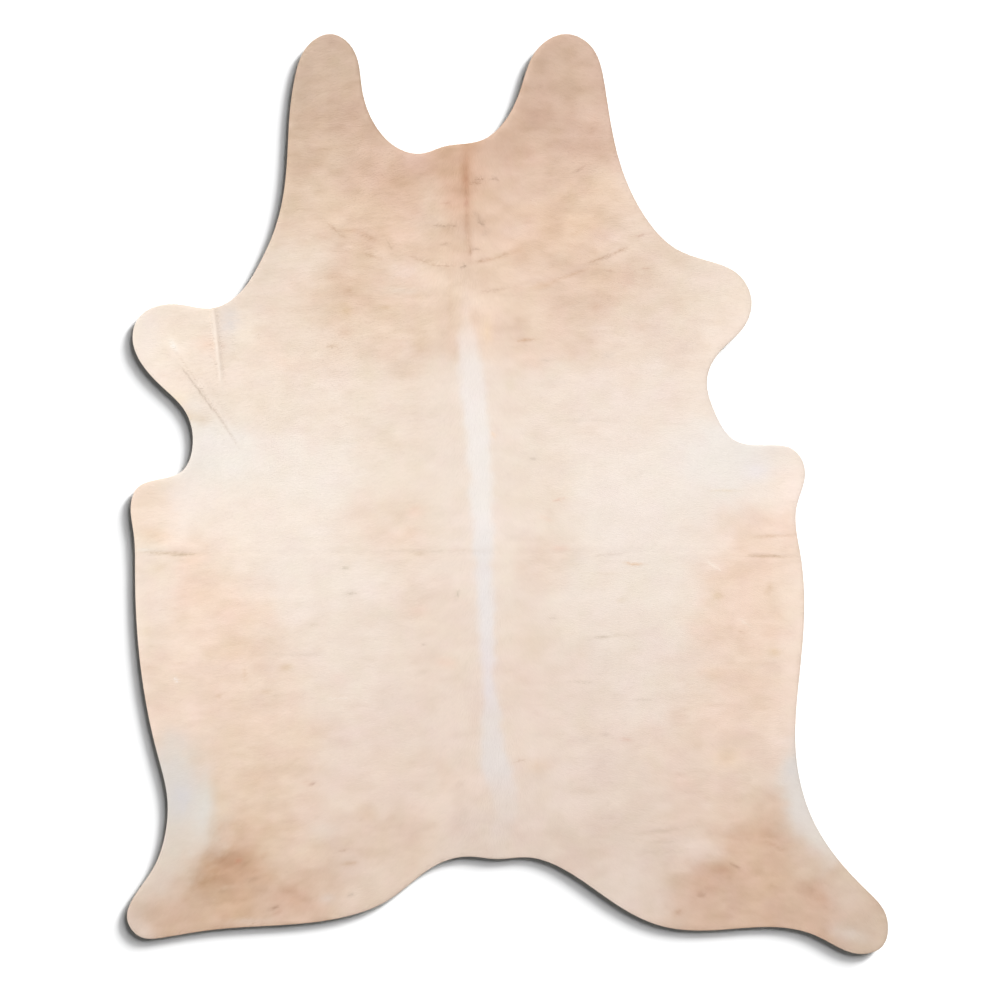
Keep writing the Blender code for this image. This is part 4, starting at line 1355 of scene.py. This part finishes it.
def combed_cattle_hair():
    """Cattle hair: solid, straight, oily hairs of 0.06 mm, washed and combed flat.

    They give the eye fine streaks along the locks and a faint silky gloss that comes and goes
    from patch to patch. The streaks are drawn 0.5 mm wide, because single hairs can't show.
    """
    material, tree, shader = new_material("combed_cattle_hair", 0.6, specular=0.3, sheen=0.1)
    streak_length, streak_width = 14, 0.5  # the strands' map is in millimetres
    strand = node(tree, "UVMap", {"uv_map": "strands"}).outputs["UV"]
    drawn_out = node(
        tree, "Mapping", {"Scale": (1 / streak_length, 1 / streak_width, 1.0)}, Vector=strand
    )
    hairs = node(
        tree, "TexNoise", {"Scale": 1.0, "Detail": 2.0, "Roughness": 0.5},
        Vector=drawn_out.outputs[0],
    ).outputs["Fac"]
    place = node(tree, "TexCoord").outputs["Object"]
    patches = node(
        tree, "TexNoise", {"Scale": 1 / (45 * MM), "Detail": 2.0, "Roughness": 0.6}, Vector=place
    ).outputs["Fac"]

    streak = node(
        tree, "MapRange",
        {"From Min": 0.25, "From Max": 0.75, "To Min": 0.93, "To Max": 1.07}, Value=hairs,
    ).outputs["Result"]
    coat = node(tree, "Attribute", {"attribute_name": "coat_colour"}).outputs["Color"]
    streaked = node(tree, "VectorMath", {"operation": "SCALE"}, Scale=streak)
    tree.links.new(coat, streaked.inputs[0])
    tree.links.new(streaked.outputs["Vector"], shader.inputs["Base Color"])

    gloss = node(
        tree, "MapRange",
        {"From Min": 0.3, "From Max": 0.7, "To Min": 0.52, "To Max": 0.68}, Value=patches,
    ).outputs["Result"]
    tree.links.new(gloss, shader.inputs["Roughness"])
    relief = node(tree, "Bump", {"Strength": 0.35, "Distance": 0.08 * MM}, Height=hairs)
    tree.links.new(relief.outputs["Normal"], shader.inputs["Normal"])
    return material


def buffed_flesh_side():
    """Chrome-tanned cowhide buffed to a suede on its flesh side.

    The eye sees a matt cream nap, brushed lighter and darker in patches a few centimetres wide,
    with greyer veins where the blood vessels ran. The nap's fibres of 0.1 mm are drawn 1.5 mm.
    """
    material, tree, shader = new_material("buffed_flesh_side", 0.92, specular=0.2, sheen=0.3)
    place = node(tree, "TexCoord").outputs["Object"]
    brushed = node(
        tree, "TexNoise",
        {"Scale": 1 / (60 * MM), "Detail": 4.0, "Roughness": 0.6, "Distortion": 0.8},
        Vector=place,
    ).outputs["Fac"]
    nap = node(
        tree, "TexNoise", {"Scale": 1 / (1.5 * MM), "Detail": 3.0, "Roughness": 0.7}, Vector=place
    ).outputs["Fac"]
    wander = node(
        tree, "TexNoise", {"Scale": 1 / (90 * MM), "Detail": 3.0}, Vector=place
    ).outputs["Color"]
    bent = node(tree, "VectorMath", {"operation": "MULTIPLY_ADD"})
    tree.links.new(wander, bent.inputs[0])
    bent.inputs[1].default_value = (0.16, 0.16, 0.0)  # metres by which the veins wander
    tree.links.new(place, bent.inputs[2])
    veins = node(
        tree, "TexVoronoi", {"feature": "DISTANCE_TO_EDGE", "Scale": 1 / (210 * MM)},
        Vector=bent.outputs["Vector"],
    ).outputs["Distance"]

    cream = node(tree, "ValToRGB", Fac=brushed)
    stops = cream.color_ramp.elements
    for stop, position, colour in zip(stops, (0.3, 0.7), ("#c9bda9", "#e0d7c6")):
        stop.position = position
        stop.color = opaque(colour)
    in_vein = node(
        tree, "MapRange",
        {"From Min": 0.0, "From Max": 0.035, "To Min": 0.45, "To Max": 0.0}, Value=veins,
    ).outputs["Result"]
    veined = node(tree, "Mix", {"data_type": "RGBA"}, Factor=in_vein)
    tree.links.new(cream.outputs["Color"], veined.inputs["A"])
    veined.inputs["B"].default_value = opaque("#bfb4a4")
    tree.links.new(veined.outputs["Result"], shader.inputs["Base Color"])
    relief = node(tree, "Bump", {"Strength": 0.5, "Distance": 0.3 * MM}, Height=nap)
    tree.links.new(relief.outputs["Normal"], shader.inputs["Normal"])
    return material


def raw_cut_edge():
    """Tanned cowhide cut through with a knife and left raw.

    The eye sees pale fibres in layers that run along the edge, drawn 0.4 mm thick.
    """
    material, tree, shader = new_material("raw_cut_edge", 0.85, specular=0.25)
    place = node(tree, "TexCoord").outputs["Object"]
    layered = node(
        tree, "Mapping", {"Scale": (1 / (5 * MM), 1 / (5 * MM), 1 / (0.4 * MM))}, Vector=place
    )
    fibres = node(
        tree, "TexNoise", {"Scale": 1.0, "Detail": 3.0, "Roughness": 0.6},
        Vector=layered.outputs[0],
    ).outputs["Fac"]
    pale = node(tree, "ValToRGB", Fac=fibres)
    stops = pale.color_ramp.elements
    for stop, position, colour in zip(stops, (0.3, 0.7), ("#cdbfa8", "#ebe0cf")):
        stop.position = position
        stop.color = opaque(colour)
    tree.links.new(pale.outputs["Color"], shader.inputs["Base Color"])
    relief = node(tree, "Bump", {"Strength": 0.4, "Distance": 0.2 * MM}, Height=fibres)
    tree.links.new(relief.outputs["Normal"], shader.inputs["Normal"])
    return material


def add_camera():
    """The photograph's view: straight down, the head end up, 2.5 m across the square frame."""
    data = bpy.data.cameras.new("camera")
    data.lens = LENS
    data.sensor_width = SENSOR
    camera = bpy.data.objects.new("camera", data)
    distance = VIEW_WIDTH * LENS / SENSOR
    camera.location = (*VIEW_CENTRE, distance + COAT_TOP)
    bpy.context.scene.collection.objects.link(camera)
    bpy.context.scene.camera = camera


def add_lamp(name, strength, spread, height, bearing, lit):
    """A far, wide lamp: its spread, height and bearing in degrees, and the objects it lights."""
    data = bpy.data.lights.new(name, "SUN")
    data.energy = strength
    data.angle = math.radians(spread)
    lamp = bpy.data.objects.new(name, data)
    rise, turn = math.radians(height), math.radians(bearing)
    level = math.cos(rise)
    away = Vector((level * math.cos(turn), level * math.sin(turn), math.sin(rise)))
    lamp.rotation_euler = away.to_track_quat("Z", "Y").to_euler()
    bpy.context.scene.collection.objects.link(lamp)
    group = bpy.data.collections.new(name + "_lights")
    for piece in lit:
        group.objects.link(piece)
    lamp.light_linking.receiver_collection = group


def add_studio(pieces):
    """A white floor, two low lamps that throw the hide's shadow on it, and a soft high one.

    The narrow low lamp gives the shadow its dark foot along the edge and the wide one its long
    fade. The high lamp lights the hide from the head's left.
    """
    scene = bpy.context.scene
    mesh = bpy.data.meshes.new("floor")
    corners = [(-1, -1), (1, -1), (1, 1), (-1, 1)]
    points = [(x * FLOOR_HALF, y * FLOOR_HALF, FLOOR_LEVEL) for x, y in corners]
    mesh.from_pydata(points, [], [(0, 1, 2, 3)])
    floor = bpy.data.objects.new("floor", mesh)
    white, _, shader = new_material("white_floor", 0.9)
    shader.inputs["Base Color"].default_value = opaque("#f4f4f4")
    mesh.materials.append(white)
    scene.collection.objects.link(floor)

    lit = {"floor": [floor], "hide": pieces}
    for name, strength, spread, height, bearing, target in LAMPS:
        add_lamp(name, strength, spread, height, bearing, lit[target])

    world = bpy.data.worlds.new("even_light")
    world.use_nodes = True
    background = world.node_tree.nodes["Background"]
    background.inputs["Color"].default_value = (1.0, 1.0, 1.0, 1.0)
    background.inputs["Strength"].default_value = WORLD_STRENGTH
    scene.world = world
    scene.view_settings.view_transform = "Standard"


def main():
    add_camera()
    hide = Hide()
    coat = combed_cattle_hair()
    skin = add_skin(hide, [coat, raw_cut_edge(), buffed_flesh_side()])
    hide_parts("hide")
    locks = [*add_locks(hide, [coat]), add_tufts(hide, [coat]), add_rim_hair(hide, [coat])]
    add_studio([skin, *locks])


main()
